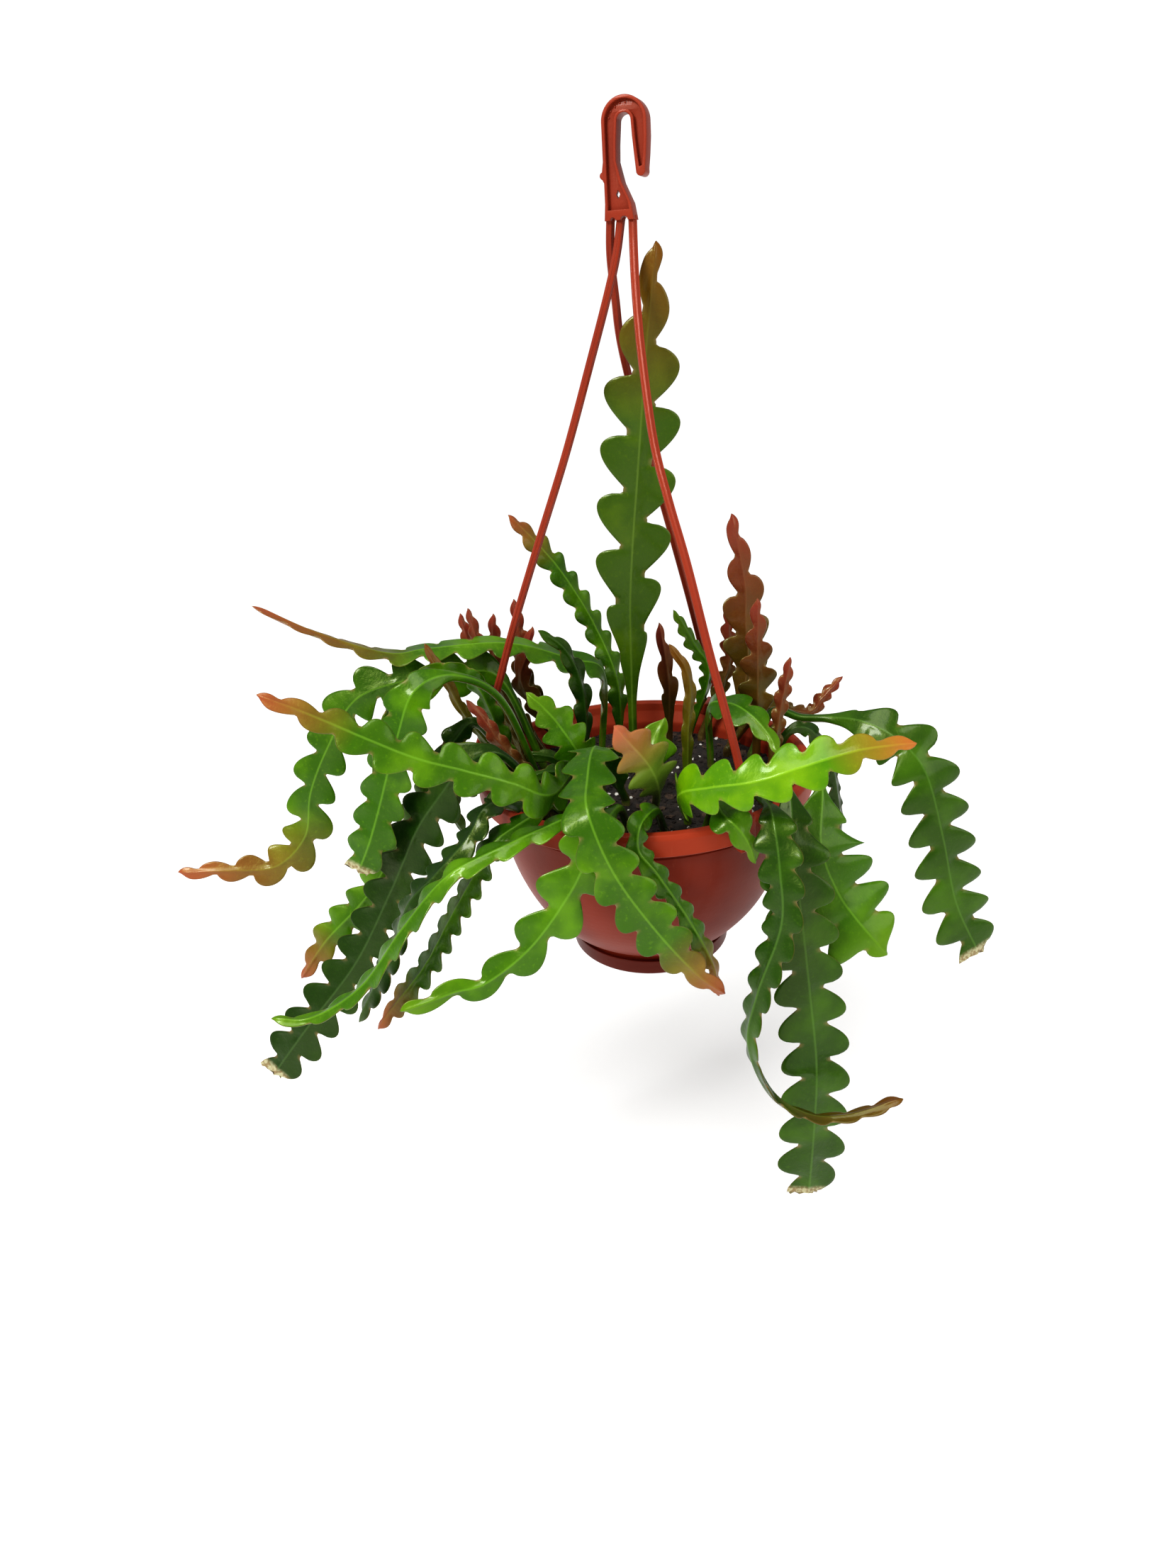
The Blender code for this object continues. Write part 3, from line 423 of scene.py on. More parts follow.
def sweptRing(given, points, spacing):
    # a ring carried along the rail, and what each of its points knows
    line = given["Geometry"].node("GeometryNodeMeshToCurve", {}, {"Mesh": given["Geometry"]})
    line = line.node("GeometryNodeResampleCurve", {"mode": "LENGTH"},
                     {"Curve": line, "Length": spacing * mm})
    centre, heading = line.node("GeometryNodeInputPosition"), line.node("GeometryNodeInputTangent")
    length = line.node("GeometryNodeSplineParameter", {}, {}, "Length")
    line = kept(kept(line, "centre", centre, "FLOAT_VECTOR"), "heading", heading, "FLOAT_VECTOR")
    line = kept(line, "alongStem", length)
    ring = line.node("GeometryNodeCurvePrimitiveCircle", {}, {"Resolution": points, "Radius": 1.0})
    ring = kept(ring, "ring", ring.node("GeometryNodeInputPosition"), "FLOAT_VECTOR")
    skin = line.node("GeometryNodeCurveToMesh", {},
                     {"Curve": line, "Profile Curve": ring, "Fill Caps": True})

    def read(name, kind="FLOAT_VECTOR"):
        return skin.node("GeometryNodeInputNamedAttribute", {"data_type": kind},
                         {"Name": name}, "Attribute")

    heading, facing = read("heading"), read("facing")
    slip = facing.vector("DOT_PRODUCT", heading, output="Value")
    facing = facing.vector("SUBTRACT", heading.scaled(slip)).vector("NORMALIZE")
    ring = read("ring")
    return {"skin": skin, "centre": read("centre"), "heading": heading, "facing": facing,
            "side": heading.vector("CROSS_PRODUCT", facing), "across": ring.axis("X"),
            "deep": ring.axis("Y"), "length": read("alongStem", "FLOAT") * (1 / mm)}


def setSkin(swept, moves, stored):
    # the ring's points put in place, with numbers kept for the material
    skin, place = swept["skin"], swept["centre"]
    for direction, amount in moves.items():
        place = place.vector("ADD", swept[direction].scaled(amount * mm))
    for name, value in stored.items():
        skin = kept(skin, name, value)
    skin = skin.node("GeometryNodeSetPosition", {}, {"Geometry": skin, "Position": place})
    for name in ("centre", "heading", "facing", "ring"):
        skin = skin.node("GeometryNodeRemoveAttribute", {}, {"Geometry": skin, "Name": name})
    return skin


def stemTree():
    sizes = ("Width", "Pitch", "Notch", "Stalk", "Total", "Lobes", "Swell", "Taper", "Cut", "Tint",
             "Blush")
    tree, given = newTree("Fishbone stem", dict.fromkeys(sizes, "Float"))
    form = stemForm
    swept = sweptRing(given, form["ringPoints"], form["spacing"])
    pitch, total, stalk = given["Pitch"], given["Total"], given["Stalk"]
    cut, tint = given["Cut"], given["Tint"]
    stalkHalf, stalkDeep = form["stalkWidth"] / 2, form["stalkThick"] / 2
    margin = form["marginThick"] / 2
    length, raw, deep = swept["length"], swept["across"], swept["deep"]
    hand = (raw > 0) * 2 - 1                             # -1 left of the rib, 1 right of it
    across = abs(raw) ** 1.5                             # crowds the points at the rib
    toTip = total - length
    grow = (length - stalk).ramp(given["Swell"] * -0.05, given["Swell"] * 0.95)
    fade = toTip.ramp(0, given["Taper"])
    fade = fade + (1 - fade) * (form["tipPart"] + form["cutPart"] * cut)
    full = stalkHalf + (given["Width"] * 0.5 - stalkHalf) * grow * fade
    phase = (length - stalk) / (total - stalk) * given["Lobes"] + (raw > 0) * 0.5
    phase = phase.maths("FRACT", phase + 8)
    crest, fall = form["crest"], form["fall"]
    turnOf = (phase / (1 - form["bay"])).least(1)        # 0 to 1 over the lobe, 1 in the bay behind
    rising = phase.maths("SINE", turnOf.least(crest) * (math.pi / (2 * crest))) ** 1.05
    falling = phase.maths("COSINE", (turnOf - crest).most(0) * (math.pi / (2 * fall))).most(0) ** 0.5
    lobe = rising * falling
    reach = (full * (1 - given["Notch"] * grow * (1 - lobe))).most(1.2)
    closing = (1 - (1 - toTip / form["tipRound"]).most(0) ** 2).most(0) ** 0.8
    closing = closing.most(cut).most(0.04)
    reach = reach * closing
    wide = reach * across                                # distance from the rib
    rib = (stalkDeep + (form["ribThick"] / 2 - stalkDeep) * grow) * (0.6 + 0.4 * fade)
    blade = margin + (rib - margin) * (1 - across) ** 1.6
    ridge = form["ridge"] * blade.maths("EXPONENT", (wide / form["ridgeWidth"]) ** 2 * -1)
    blade = blade + ridge * grow
    blade = blade * abs(deep) ** 0.4
    pole = stalkDeep * abs(deep)
    thick = (pole + (blade - pole) * grow.ramp(0.0, 0.35)) * closing
    front = (deep > 0) * 2 - 1
    wave = form["wave"] * grow * fade * across ** 2
    wave = wave * phase.maths("SINE", phase * (2 * math.pi) + tint * 6)
    cup = wide * wide * -form["cup"] * grow
    lean = pitch * form["lean"] * across ** 2 * lobe * grow * fade
    torn = toTip.ramp(form["raggedLength"], 0)
    where = swept["side"].scaled(wide * hand * 0.7)
    grit = where.node("ShaderNodeTexNoise", {}, {"Vector": where, "Scale": 1.0})
    ragged = (grit - 0.5) * cut * torn
    bud = phase.least(1 - phase).ramp(*form["bud"])
    moves = {"side": wide * hand, "facing": thick * front + wave + cup,
             "heading": lean + ragged * form["ragged"]}
    stored = {"fromRib": wide * hand, "fromMargin": reach - wide, "fromTip": toTip,
              "fromSoil": length,
              "areole": bud * across.ramp(0.75, 0.92) * grow.ramp(0.3, 0.6),
              "cutEnd": cut * toTip.ramp(6, 2.5), "cut": cut, "tint": tint, "blush": given["Blush"]}
    return closeTree(tree, setSkin(swept, moves, stored), given)


def growStem(name, form, tree, material, tint):
    (x, y), rest = form["route"][0], form["route"][1:]
    foot = Vector((x, y, soilTop - stemForm["footDepth"]))
    crown = Vector((x, y, soilTop + stemForm["straight"]))
    line = np.array([foot] + smoothRoute([crown] + [Vector(point) for point in rest]))
    run = lengthsOf(line)
    total, straight, stalk, pitch = run[-1], (crown - foot).length, form["stalk"], form["pitch"]
    lobes = max(2, round((total - stalk) / pitch))
    risers = max(1, round((stalk - straight) / stemForm["stalkStep"]))
    samples = 3 if form["width"] >= 28 else 2
    stations = np.concatenate([[0.0], np.linspace(straight, stalk, risers + 1)[:-1],
                               np.linspace(stalk, total, lobes * samples + 1)])
    headings = headingsAt(line, run, stations)
    headings[0] = (0.0, 0.0, 1.0)
    faces = carriedFaces(headings, form["face"], form["twist"])
    steps = np.linspace(0, total, int(total / stemForm["spacing"]))
    rail = railMesh(name, line, run, steps, faces, stations)
    tone = stemTones[form["tone"]]
    values = {"Width": form["width"], "Pitch": pitch, "Notch": form["notch"], "Stalk": stalk,
              "Total": total, "Lobes": lobes, "Swell": form.get("swell", stemForm["swell"] * pitch),
              "Taper": form.get("taper", stemForm["taper"] * pitch), "Cut": form["cut"],
              "Tint": tint, "Blush": form.get("blush", tone["blush"])}
    values = {label: float(value) for label, value in values.items()}
    finished(name, tidied(grown(rail, tree, {**values, "Material": material})),
             "stem_" + form.get("slot", tone["slot"]), node="stem_" + name, sharp=70)


# slot, body, light and tip colours, and how far the tip colour comes down the stem in millimetres
stemTones = {
    "green": dict(slot="green", blush=30,
        body=(0.020, 0.078, 0.001), light=(0.080, 0.198, 0.001), tip=(0.080, 0.170, 0.003)),
    # deep: the green tone darkened as painted shade, for the lower hanging stems on the right
    "deep": dict(slot="green", blush=30,
        body=(0.009, 0.038, 0.001), light=(0.034, 0.098, 0.001), tip=(0.100, 0.034, 0.004)),
    "bronze_tip": dict(slot="green", blush=42,
        body=(0.021, 0.076, 0.001), light=(0.084, 0.195, 0.002), tip=(0.25, 0.050, 0.020)),
    "dark": dict(slot="dark", blush=20,
        body=(0.004, 0.022, 0.001), light=(0.014, 0.048, 0.001), tip=(0.018, 0.055, 0.001)),
    "lime": dict(slot="lime", blush=46,
        body=(0.055, 0.165, 0.001), light=(0.155, 0.300, 0.002), tip=(0.360, 0.100, 0.020)),
    "olive": dict(slot="olive", blush=85,
        body=(0.022, 0.056, 0.001), light=(0.058, 0.105, 0.001), tip=(0.120, 0.036, 0.004)),
    "bronze": dict(slot="bronze", blush=55,
        body=(0.036, 0.021, 0.002), light=(0.082, 0.036, 0.004), tip=(0.180, 0.020, 0.015)),
    "rosy": dict(slot="green", blush=42,
        body=(0.075, 0.130, 0.012), light=(0.150, 0.230, 0.024), tip=(0.400, 0.080, 0.045)),
}
stemMarks = dict(margin=(0.10, 0.045, 0.015), bud=(0.20, 0.12, 0.05), bark=(0.13, 0.085, 0.035),
                 dryEnd=(0.20, 0.14, 0.07), paleEnd=(0.36, 0.33, 0.20))


def stemMaterial(name, tone):
    made, wire, shader, place = newMaterial("Stem " + name)

    def read(label):
        return wire.node("ShaderNodeAttribute", {"attribute_name": label}, {}, "Fac")

    fromMargin, fromSoil, cutEnd = read("fromMargin"), read("fromSoil"), read("cutEnd")
    low = fromSoil.ramp(34, 16)                          # the woody foot of the stalk
    cloud, fleck, pores = speckle(place, 38, 3.0), speckle(place, 520), speckle(place, 900)
    bark = speckle(place, 260, 3.0).ramp(0.35, 0.7)
    lit = cloud.ramp(0.42, 0.75) * 0.75 + (read("tint") - 0.5) * 0.35
    skin = colourOf(wire, tone["body"]).mixed(tone["light"], lit.most(0))
    skin = skin.mixed(tone["light"], fleck.ramp(0.56, 0.78) * 0.35)
    paleRib = tuple(min(1, channel * 1.4 + 0.02) for channel in tone["light"])
    skin = skin.mixed(paleRib, abs(read("fromRib")).ramp(0.9, 0.2) * 0.42 * fromSoil.ramp(30, 60))
    tip = (1 - read("fromTip") / read("blush")).most(0) * (0.75 + 0.5 * cloud)
    skin = skin.mixed(tone["tip"], tip.least(1) * (1 - read("cut")))
    skin = skin.mixed(stemMarks["margin"], fromMargin.ramp(0.42, 0.05) * 0.4)
    skin = skin.mixed(stemMarks["bud"], read("areole") * 0.55)
    skin = skin.mixed(stemMarks["bark"], low * (0.4 + 0.5 * bark))
    ending = colourOf(wire, stemMarks["dryEnd"]).mixed(stemMarks["paleEnd"], fleck.ramp(0.4, 0.6))
    feed(shader, skin.mixed(ending, cutEnd), "Base Color")
    feed(shader, 0.23 + 0.16 * cloud + 0.1 * fleck + 0.4 * cutEnd, "Roughness")
    height = pores * 0.25 + speckle(place, 120) * 1.2 + bark * low * 0.8
    feed(shader, bump(wire, height, 0.5, 0.0009), "Normal")
    setAll(shader, {"Coat Weight": 0.2, "Coat Roughness": 0.14, "Specular IOR Level": 0.3,
                    "Specular Tint": (0.80, 1.0, 0.25, 1), "Subsurface Weight": 0.06,
                    "Subsurface Radius": (0.2, 0.6, 0.1), "Subsurface Scale": 0.002})
    return made


def makeStems():
    skin = stemTree()
    finishes = {name: stemMaterial(name.replace("_", " "), tone) for name, tone in stemTones.items()}
    for count, (name, shape) in enumerate(stemShapes.items()):
        form = {**plainStem, **shape}
        growStem(name, form, skin, finishes[form["tone"]], (count * 0.618) % 1.0)


makeStems()
print("stems:", len(stemShapes))


# Bowl and saucer, turned from their outlines: radius and height in millimetres.
bowlForm = {
    "rimRadius": 100.0, "rimTop": -352.0, "band": 13.0, "wall": 2.4, "floor": -470.0,
    "side": [(91.5, -366), (89.5, -377), (85.5, -398), (79.5, -417), (70.5, -435), (58.5, -450),
             (50, -457)],
    "footRadius": 46.0, "footTop": -459.0, "clear": 0.35, "sides": 168,
    "line": [(90.9, -369.2), (90.2, -369.8), (90.2, -370.6), (90.75, -371.2)],  # below the band
    "saucerWall": 1.8, "saucerHeight": 10.5,
}
plastics = {     # shade: two heights in metres between which a wall turns deeper, partly its own darker red and partly painted shade under the rim band
    "Bowl plastic": dict(colour=(0.270, 0.034, 0.012), deep=(0.125, 0.011, 0.004),
                         pale=(0.34, 0.085, 0.04), roughness=0.42, shade=(-0.364, -0.368)),
    "Saucer plastic": dict(colour=(0.080, 0.007, 0.003), deep=(0.050, 0.004, 0.002),
                           pale=(0.20, 0.06, 0.035), roughness=0.38),
    "Hanger plastic": dict(colour=(0.215, 0.028, 0.012), deep=(0.135, 0.014, 0.007),
                           pale=(0.38, 0.11, 0.06), roughness=0.30),
}


def rounded(points, radius, steps=4, closed=False):
    # the outline with each corner turned into a short arc
    made = []
    count = len(points)
    for k, corner in enumerate(points):
        corner = Vector(corner)
        if not closed and k in (0, count - 1):
            made.append(tuple(corner))
            continue
        before = Vector(points[k - 1]) - corner
        after = Vector(points[(k + 1) % count]) - corner
        reach = min(radius, before.length * 0.45, after.length * 0.45)
        start, end = corner + before.normalized() * reach, corner + after.normalized() * reach
        for step in range(steps + 1):
            t = step / steps
            made.append(tuple((1 - t) ** 2 * start + 2 * t * (1 - t) * corner + t * t * end))
    return made


def turned(name, outline, sides):
    # a closed body turned about the vertical from an outline that starts and ends on it
    corners, rings = [], []
    for radius, height in outline:
        if radius < 0.01:
            rings.append([len(corners)] * sides)
            corners.append((0, 0, height * mm))
            continue
        rings.append([len(corners) + k for k in range(sides)])
        for k in range(sides):
            turn = 2 * math.pi * k / sides
            corners.append((radius * mm * math.cos(turn), radius * mm * math.sin(turn), height * mm))
    faces = []
    for low, high in zip(rings, rings[1:]):
        for k in range(sides):
            after = (k + 1) % sides
            face = [low[k], low[after], high[after], high[k]]
            faces.append([v for i, v in enumerate(face) if v != face[i - 1]])
    mesh = bpy.data.meshes.new(name)
    mesh.from_pydata(corners, [], [face for face in faces if len(face) > 2])
    return tidied(mesh)


def fineSide(points, pieces=5):
    # the bowl's wall as a smooth curve
    smooth = smoothRoute([(radius, 0, height) for radius, height in points], pieces)
    return [(point.x, point.z) for point in smooth]


def plasticMaterial(name):
    # moulded plastic: slight clouds, fine grain and pale scuffs
    form = plastics[name]
    made, wire, shader, place = newMaterial(name)
    cloud = speckle(place, 14, 3.0)
    grain = speckle(place, 700)
    deeper = cloud.ramp(0.4, 0.8) * 0.5
    # painted shade in part: the wall below the rim band turned deeper, partly the plastic's own
    # darker red
    if "shade" in form:
        deeper = (deeper + place.axis("Z").ramp(*form["shade"]) * 0.6).least(1)
    stretched = place.node("ShaderNodeMapping", {}, {"Vector": place, "Scale": (1.0, 1.0, 0.12)})
    scuff = speckle(stretched, 240, 4.0).ramp(0.66, 0.8) * cloud.ramp(0.35, 0.6)
    skin = colourOf(wire, form["colour"]).mixed(form["deep"], deeper)
    skin = skin.mixed(form["pale"], scuff * 0.35).mixed(form["pale"], grain.ramp(0.6, 0.9) * 0.12)
    feed(shader, skin, "Base Color")
    feed(shader, form["roughness"] + 0.10 * cloud + 0.12 * scuff, "Roughness")
    feed(shader, bump(wire, grain * 0.5 + speckle(place, 90) * 0.8, 0.25, 0.0004), "Normal")
    setAll(shader, {"Specular IOR Level": 0.18, "Specular Tint": (1.0, 0.55, 0.42, 1),
                    "Coat Weight": 0.04})
    return made


def makeBowl():
    form = bowlForm
    top, edge, wall = form["rimTop"], form["rimRadius"], form["wall"]
    foot, footTop, floor = form["footRadius"], form["footTop"], form["floor"]
    band = top - form["band"]
    lip = [(edge - 7.5, top - 6), (edge - 6.6, top - 1.2), (edge - 4.5, top), (edge - 1.2, top - 0.6),
           (edge, top - 3), (edge, band + 0.6), (edge - 0.6, band), (edge - 3, band - 1)]
    outline = [(0, floor + wall), (foot - wall, floor + wall), (foot - wall, footTop + 1)]
    outline += [(radius - wall, height + 1) for radius, height in fineSide(form["side"][::-1])]
    outline += lip + [form["side"][0]] + form["line"] + fineSide(form["side"][1:])
    outline += [(foot, footTop), (foot, floor), (0, floor)]
    finished("bowl", turned("bowl", rounded(outline, 0.7), form["sides"]), "bowl_plastic",
             node="bowl", material=plasticMaterial("Bowl plastic"))
    inside, wall = foot + form["clear"], form["saucerWall"]
    base = floor - form["clear"]
    bottom = base - wall
    top = bottom + form["saucerHeight"]
    dish = [(0, base), (inside, base), (inside + 0.5, top), (inside + 0.5 + wall, top),
            (inside + 0.3 + wall, top - 2.4), (inside + wall, bottom + 2), (inside - 1, bottom),
            (30, bottom), (29, bottom + 0.7), (27, bottom + 0.7), (26, bottom), (0, bottom)]
    finished("saucer", turned("saucer", rounded(dish[::-1], 0.6), form["sides"]), "saucer_plastic",
             node="saucer", material=plasticMaterial("Saucer plastic"))


makeBowl()
print("bowl and saucer")


# Potting mix: a rough bed, with crumbs, bark and white grains strewn on it.
soilForm = {
    "rise": 1.2,            # the middle stands higher than the edge
    "lumps": [(0.07, 1.6), (0.31, 0.8), (0.9, 0.35)],   # how fine and how high
    "rings": 64, "sides": 150, "clear": 0.85,
    "bed": ("Potting mix", (0.009, 0.006, 0.004), (0.030, 0.018, 0.011), 1.0, 220),
    "strewn": {   # size, count by area, stretch and seed of each kind of grain, and its look
        "crumbs": dict(size=(0.7, 2.0), density=62000.0, flat=0.8, seed=3,
                       look=("Damp crumbs", (0.010, 0.006, 0.004), (0.034, 0.020, 0.012), 0.95, 500)),
        "bark": dict(size=(1.6, 4.2), density=9000.0, flat=0.35, seed=11,
                     look=("Bark chips", (0.035, 0.019, 0.010), (0.095, 0.052, 0.026), 0.85, 350)),
        "perlite": dict(size=(0.7, 1.9), density=3500.0, flat=0.85, seed=23,
                        look=("Perlite", (0.72, 0.70, 0.64), (0.50, 0.47, 0.40), 0.9, 600)),
    },
}


def innerRadius(height):
    radii, heights = zip(*bowlForm["side"][::-1])
    return float(np.interp(height - 1.0, heights, radii)) - bowlForm["wall"] - soilForm["clear"]


def soilBed():
    edge, rings = innerRadius(soilTop), soilForm["rings"]
    inside = bowlForm["footRadius"] - bowlForm["wall"] - 1
    floor = bowlForm["floor"] + bowlForm["wall"] + bowlForm["clear"]
    outline = [(edge * k / rings, soilTop) for k in range(rings + 1)]
    outline += [(innerRadius(height), height) for height in (-397, -416, -434, -448, -454)]
    outline += [(inside, bowlForm["footTop"] + 1.5), (inside, floor), (0, floor)]
    mesh = turned("soil", outline, soilForm["sides"])
    for corner in mesh.vertices:
        if corner.co.z > (soilTop - 0.1) * mm:
            spot = corner.co / mm
            lumps = sum(noise.noise(spot * fine) * high for fine, high in soilForm["lumps"])
            away = 1 - (spot.xy.length / edge) ** 6
            corner.co.z += (soilForm["rise"] + lumps) * away * mm
    return mesh


def grainTree():
    sizes = dict.fromkeys(("Smallest", "Largest", "Density", "Flatness"), "Float")
    tree, given = newTree("Strewn grains", {**sizes, "Seed": "Int"})
    top = given["Geometry"]
    level = top.node("GeometryNodeInputNormal").axis("Z") > 0.6
    points = top.node("GeometryNodeDistributePointsOnFaces", {"distribute_method": "RANDOM"},
                      {"Mesh": top, "Selection": level, "Density": given["Density"],
                       "Seed": given["Seed"]})
    grain = top.node("GeometryNodeMeshIcoSphere", {}, {"Radius": 1.0, "Subdivisions": 1})
    where = grain.node("GeometryNodeInputPosition")
    dents = grain.node("ShaderNodeTexNoise", {}, {"Vector": where, "Scale": 1.7})
    grain = grain.node("GeometryNodeSetPosition", {},
                       {"Geometry": grain, "Position": where.scaled(0.55 + dents * 0.9)})
    size = grain.node("FunctionNodeRandomValue", {"data_type": "FLOAT"},
                      {2: given["Smallest"] * mm, 3: given["Largest"] * mm, "Seed": given["Seed"]}, 1)
    turn = grain.node("FunctionNodeRandomValue", {"data_type": "FLOAT_VECTOR"},
                      {0: (-0.5, -0.5, 0.0), 1: (0.5, 0.5, 6.28), "Seed": given["Seed"]}, 0)
    stretch = grain.node("ShaderNodeCombineXYZ", {},
                         {0: size, 1: size * 0.75, 2: size * given["Flatness"]})
    strewn = points.node("GeometryNodeInstanceOnPoints", {}, {"Points": points, "Instance": grain,
                                                              "Rotation": turn, "Scale": stretch})
    return closeTree(tree, strewn, given)


def mixMaterial(name, colour, other, roughness, scale):
    made, wire, shader, place = newMaterial(name)
    lumps = speckle(place, scale, 4.0, 0.6)
    fine = speckle(place, scale * 4, 3.0)
    skin = colourOf(wire, colour).mixed(other, lumps.ramp(0.4, 0.75))
    # painted shade: the mix darkened in fine specks that stand for its hollows
    hollowShade = tuple(channel * 0.4 for channel in colour)
    feed(shader, skin.mixed(hollowShade, fine.ramp(0.55, 0.8) * 0.6), "Base Color")
    feed(shader, roughness - 0.15 * lumps, "Roughness")
    feed(shader, bump(wire, lumps + fine * 0.5, 0.9, 0.0012), "Normal")
    return made


def makeSoil():
    bed = soilBed()
    tree = grainTree()
    for name, form in soilForm["strewn"].items():
        values = {"Smallest": form["size"][0], "Largest": form["size"][1], "Seed": form["seed"],
                  "Density": form["density"], "Flatness": form["flat"],
                  "Material": mixMaterial(*form["look"])}
        grains = tidied(grown(bed.copy(), tree, values), 0.000001)
        finished("soil_" + name, grains, "potting_mix", sharp=30)
    finished("soil_bed", bed, "potting_mix", node="soil", sharp=60,
             material=mixMaterial(*soilForm["bed"]))


makeSoil()
print("potting mix")


# Hanger: hook, plate, three straps and their clips, one moulding.
hangerForm = {
    "deep": 9.0, "web": 3.0, "flange": 1.7, "lining": 1.5, "turn": -18.0,
    "arch": (4.0, -3.7), "archOuter": 11.8, "archInner": 3.7, "tip": -30.0, "plateBottom": -50.0,
    "bossSize": 0.5, "bosses": [(2.9, 8.6), (2.55, 8.9), (2.2, 8.4), (1.85, 8.8), (1.5, 8.5)],
    "strapWidth": 4.4, "strapThick": 2.4, "strapRib": 0.7, "strapSpacing": 3.0, "strapPoints": 40,
    "clipWidth": 9.0, "clipThick": 2.6, "clipReach": 8.0, "clipHook": 3.4, "clipDrop": 5.0,
}
straps = {
    "left": dict(clip=180, face=(0.6, -0.8, 0.2), route=[
        (-0.2, 1.4, -48), (-3.4, 0, -66), (-9, -1, -86), (-20, -1, -120), (-36, 0, -168),
        (-54, 0, -216), (-72, 0, -265), (-86, 0, -307), (-99, 0, -340), (-102.6, 0, -352)]),
    "back": dict(clip=60, face=(0.2, -1, 0.1), route=[
        (-5.8, 3.2, -48), (-6.6, 6, -66), (-5, 12, -88), (-2, 22, -117), (11, 44, -177),
        (20, 58, -212), (33, 73, -266), (43, 84, -310), (50.5, 88, -340), (51.3, 88.9, -352)]),
    "front": dict(clip=-60, face=(0.2, -1, 0.1), route=[
        (5.6, -0.5, -48), (5.4, -3.5, -66), (5.6, -10, -88), (7, -20, -117), (11, -34, -159),
        (17, -46, -188), (25, -58, -220), (34, -70, -262), (45, -83, -310), (50.5, -88, -340),
        (51.3, -88.9, -352)]),
}


def arc(centre, radius, start, end, steps):
    x, z = centre
    turns = [math.radians(start + (end - start) * k / steps) for k in range(steps + 1)]
    return [(x + radius * math.cos(turn), z + radius * math.sin(turn)) for turn in turns]


def insetOutline(points, distance):
    # the outline moved inwards by a distance; it runs round the shape clockwise
    made = []
    for k, point in enumerate(points):
        here = Vector(point)
        before = (here - Vector(points[k - 1])).normalized()
        after = (Vector(points[(k + 1) % len(points)]) - here).normalized()
        outward = Vector((-(before.y + after.y), before.x + after.x)).normalized()
        lean = outward.dot(Vector((-before.y, before.x)))
        made.append(tuple(here - outward * distance / max(0.4, lean)))
    return made


def slab(rings, low, high, bevel=0.35, turn=0.0):
    # a flat outline in the plane of X and Z, thickened from low to high along Y, with soft edges
    flat = bpy.data.curves.new("outline", "CURVE")
    flat.dimensions, flat.fill_mode = "2D", "BOTH"
    flat.extrude = ((high - low) / 2 - bevel) * mm
    flat.bevel_depth, flat.bevel_resolution, flat.offset = bevel * mm, 2, -bevel * mm
    for ring in rings:
        line = flat.splines.new("POLY")
        line.points.add(len(ring) - 1)
        for point, (x, z) in zip(line.points, ring):
            point.co = (x * mm, z * mm, 0, 1)
        line.use_cyclic_u = True
    mesh = plainMesh(placed("outline", flat))
    mesh.transform(Matrix.Rotation(turn, 4, "Z") @ Matrix.Translation((0, (low + high) / 2 * mm, 0))
                   @ Matrix.Rotation(math.radians(90), 4, "X"))
    return tidied(mesh)


def strapTree():
    tree, given = newTree("Hanger strap", dict.fromkeys(("Width", "Thickness", "Rib"), "Float"))
    swept = sweptRing(given, hangerForm["strapPoints"], hangerForm["strapSpacing"])
    raw, deep = swept["across"], swept["deep"]
    wide = given["Width"] * 0.5 * ((raw > 0) * 2 - 1) * abs(raw) ** 0.45
    front = (deep > 0) * 2 - 1
    thick = given["Thickness"] * 0.5 * abs(deep) ** 0.35
    ridge = given["Rib"] * abs(wide).ramp(1.3, 0.6)
    skin = setSkin(swept, {"side": wide, "facing": (thick + ridge) * front}, {"fromRib": wide})
    return closeTree(tree, skin, given)


def strapMesh(form, tree, material):
    line = np.array(smoothRoute(form["route"], 6))
    run = lengthsOf(line)
    stations = np.linspace(0, run[-1], 20)
    faces = carriedFaces(headingsAt(line, run, stations), form["face"], 0.0)
    rail = railMesh("strap", line, run, np.linspace(0, run[-1], 120), faces, stations)
    values = {"Width": hangerForm["strapWidth"], "Thickness": hangerForm["strapThick"],
              "Rib": hangerForm["strapRib"], "Material": material}
    return tidied(grown(rail, tree, values))


def clipMesh(angle):
    form, clear = hangerForm, bowlForm["clear"]
    thick, half = form["clipThick"], form["clipWidth"] / 2
    rim, radius = bowlForm["rimTop"], bowlForm["rimRadius"]
    end, hook = rim - form["clipDrop"], radius - form["clipHook"]
    foot = rim - bowlForm["band"] - 1 - clear
    right, top, left = radius + clear, rim + clear, radius - form["clipReach"] - clear
    outline = [(left - thick, end), (left - thick, top + thick), (right + thick, top + thick),
               (right + thick, foot - thick), (hook, foot - thick), (hook, foot), (right, foot),
               (right, top), (left, top), (left, end)]
    return slab([rounded(outline, 0.8, 3, closed=True)], -half, half, 0.3, math.radians(angle))


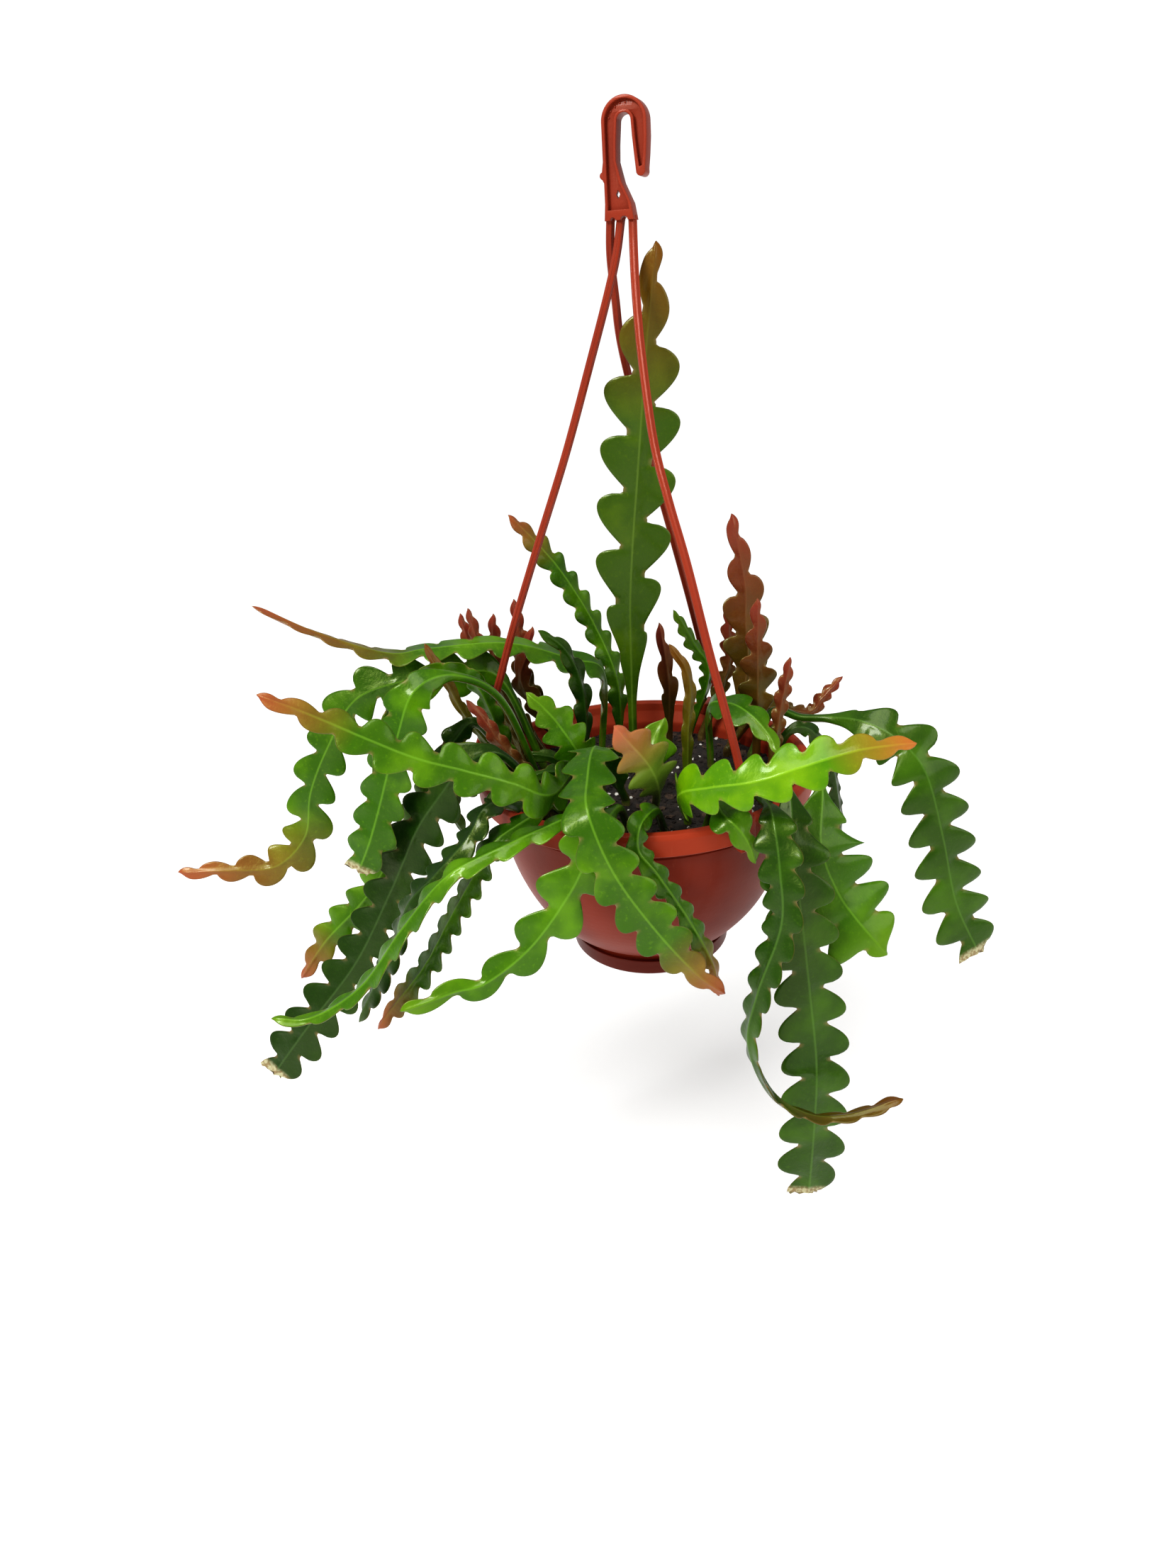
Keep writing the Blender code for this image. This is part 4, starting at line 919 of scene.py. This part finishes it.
def hookMeshes():
    # the outlines are X and Z from the middle of the arch
    form = hangerForm
    x, arch = form["arch"][0], (0, form["arch"][1])
    outer, inner = form["archOuter"], form["archInner"]
    tip, bottom = form["tip"], form["plateBottom"]
    outline = arc(arch, outer, 180, 0, 36) + [(outer, -11), (11.2, -19), (10.4, tip + 4)]
    outline += arc((8.0, tip + 2.4), 2.4, 0, -180, 10) + [(4.9, -20), (4.1, -11)]
    outline += arc(arch, inner, 0, 180, 20) + [(-4.6, -14), (-4.9, -22), (-2.4, -32), (2.2, -42)]
    outline += [(3.6, bottom), (0.2, bottom)] + arc((-1.7, bottom), 1.9, 0, 180, 10)[1:]
    outline += [(-6.4, bottom)] + arc((-7.8, bottom), 1.4, 0, 180, 10)[1:]
    outline += [(-12.2, bottom), (-11.6, -42), (-11.6, -32)]
    outline += arc((-11.9, -28.5), 1.9, 250, 110, 8) + [(-outer, -22)]
    hollow = arc(arch, outer - form["flange"], 180, 0, 36) + [(10.1, -11), (9.6, -19), (8.9, tip + 5)]
    hollow += [(7.3, tip + 4.4), (6.5, -20), (5.6, -11)]
    hollow += arc(arch, inner + form["lining"], 0, 180, 20)
    hollow += [(-6.0, -14), (-6.3, -22), (-4.0, -32), (0.4, -41), (1.2, -45)]
    hollow += [(-10.3, -45), (-10.1, -42), (-10.1, -22)]
    diamond = [(-5.2, -35.3), (-4.1, -37.5), (-5.2, -39.7), (-6.3, -37.5)]
    half, web, boss = form["deep"] / 2, form["web"] / 2, form["bossSize"]
    turn = math.radians(form["turn"])
    parts = [slab([outline, hollow], -half, half, 0.35, turn),
             slab([insetOutline(hollow, -0.5), diamond], -web, web, 0.1, turn)]
    for at, radius in form["bosses"]:       # the relief on the hook, by angle and radius
        ring = arc((radius * math.cos(at), arch[1] + radius * math.sin(at)), boss, 0, 330, 11)
        parts.append(slab([ring], -web - boss, -web, 0.1, turn))
    for mesh in parts:
        mesh.transform(Matrix.Translation((x * mm, 0, 0)))
    return parts


def joined(name, meshes):
    shell = bmesh.new()
    for mesh in meshes:
        shell.from_mesh(mesh)
    made = bpy.data.meshes.new(name)
    shell.to_mesh(made)
    shell.free()
    return made


def makeHanger():
    plastic = plasticMaterial("Hanger plastic")
    tree = strapTree()
    parts = hookMeshes()
    for form in straps.values():
        parts += [strapMesh(form, tree, plastic), clipMesh(form["clip"])]
    finished("hanger", joined("hanger", parts), "hanger_plastic", node="hanger", material=plastic,
             sharp=35)


makeHanger()
print("hanger")


# Floor, light and camera.
studio = {
    "floor": -0.66, "floorSize": 12.0,
    "floorColour": (0.90, 0.90, 0.89), "floorShade": (0.82, 0.82, 0.81),
    "backdrop": 0.90,       # how bright the surround looks
    "sky": 0.45,            # how much light it gives
    "lamps": {   # place, what it is aimed at, size in metres and power in watts
        "key": ((-0.9, -1.2, 0.75), (0, 0, -0.3), 0.45, 24),
        "fill": ((1.2, -0.8, 0.25), (0, 0, -0.35), 0.9, 7),
    },
    "sun": ((-0.2, -0.35, 1.0), 1.8, 0.6),   # where it stands, strength, and width as an angle
}
photoCamera = {
    "place": (-0.0114, -0.5901, -0.0906), "yaw": -1.78, "pitch": 17.65, "roll": -3.21,
    "lens": 24.41, "shiftX": 0.0, "shiftY": -0.0895,
}


def makeStudio():
    floor = bpy.data.meshes.new("floor")
    half, level = studio["floorSize"] / 2, studio["floor"]
    corners = [(-half, -half, level), (half, -half, level), (half, half, level), (-half, half, level)]
    floor.from_pydata(corners, [], [(0, 1, 2, 3)])
    made, wire, shader, place = newMaterial("Floor")
    skin = colourOf(wire, studio["floorColour"]).mixed(studio["floorShade"], speckle(place, 6) * 0.3)
    feed(shader, skin, "Base Color")
    setAll(shader, {"Roughness": 0.9})
    floor.materials.append(made)
    placed("floor", floor)
    scene = bpy.context.scene
    scene.world = bpy.data.worlds.new("studio")
    scene.world.use_nodes = True
    sky = Wire(scene.world.node_tree)
    background = scene.world.node_tree.nodes["Background"]
    seen = sky.node("ShaderNodeLightPath", {}, {}, "Is Camera Ray")
    feed(background, studio["sky"] + seen * (studio["backdrop"] - studio["sky"]), "Strength")
    setAll(background, {"Color": (1, 1, 1, 1)})
    scene.view_settings.view_transform = "Standard"
    scene.view_settings.look = "Medium High Contrast"
    for name, (where, aim, size, power) in studio["lamps"].items():
        lamp = bpy.data.lights.new(name, "AREA")
        lamp.size, lamp.energy = size, power
        stand = placed(name, lamp)
        stand.location = where
        stand.rotation_euler = (Vector(aim) - Vector(where)).to_track_quat("-Z", "Y").to_euler()
    side, strength, width = studio["sun"]
    sun = bpy.data.lights.new("sun", "SUN")
    sun.energy, sun.angle = strength, width
    placed("sun", sun).rotation_euler = Vector(side).to_track_quat("Z", "Y").to_euler()


def makeCamera():
    view = photoCamera
    yaw, pitch, roll = (math.radians(view[key]) for key in ("yaw", "pitch", "roll"))
    flat = math.cos(pitch)
    ahead = Vector((math.sin(yaw) * flat, math.cos(yaw) * flat, -math.sin(pitch)))
    level = Vector((math.cos(yaw), -math.sin(yaw), 0))
    upright = level.cross(ahead)
    right = level * math.cos(roll) + upright * math.sin(roll)
    up = upright * math.cos(roll) - level * math.sin(roll)
    lens = bpy.data.cameras.new("photo camera")
    lens.lens, lens.sensor_width = view["lens"], 36.0
    lens.shift_x, lens.shift_y = view["shiftX"], view["shiftY"]
    lens.clip_start, lens.clip_end = 0.05, 50
    camera = placed("photo camera", lens)
    turn = Matrix((right, up, -ahead)).transposed().to_4x4()
    camera.matrix_world = Matrix.Translation(view["place"]) @ turn
    bpy.context.scene.camera = camera


makeStudio()
makeCamera()
print("studio")
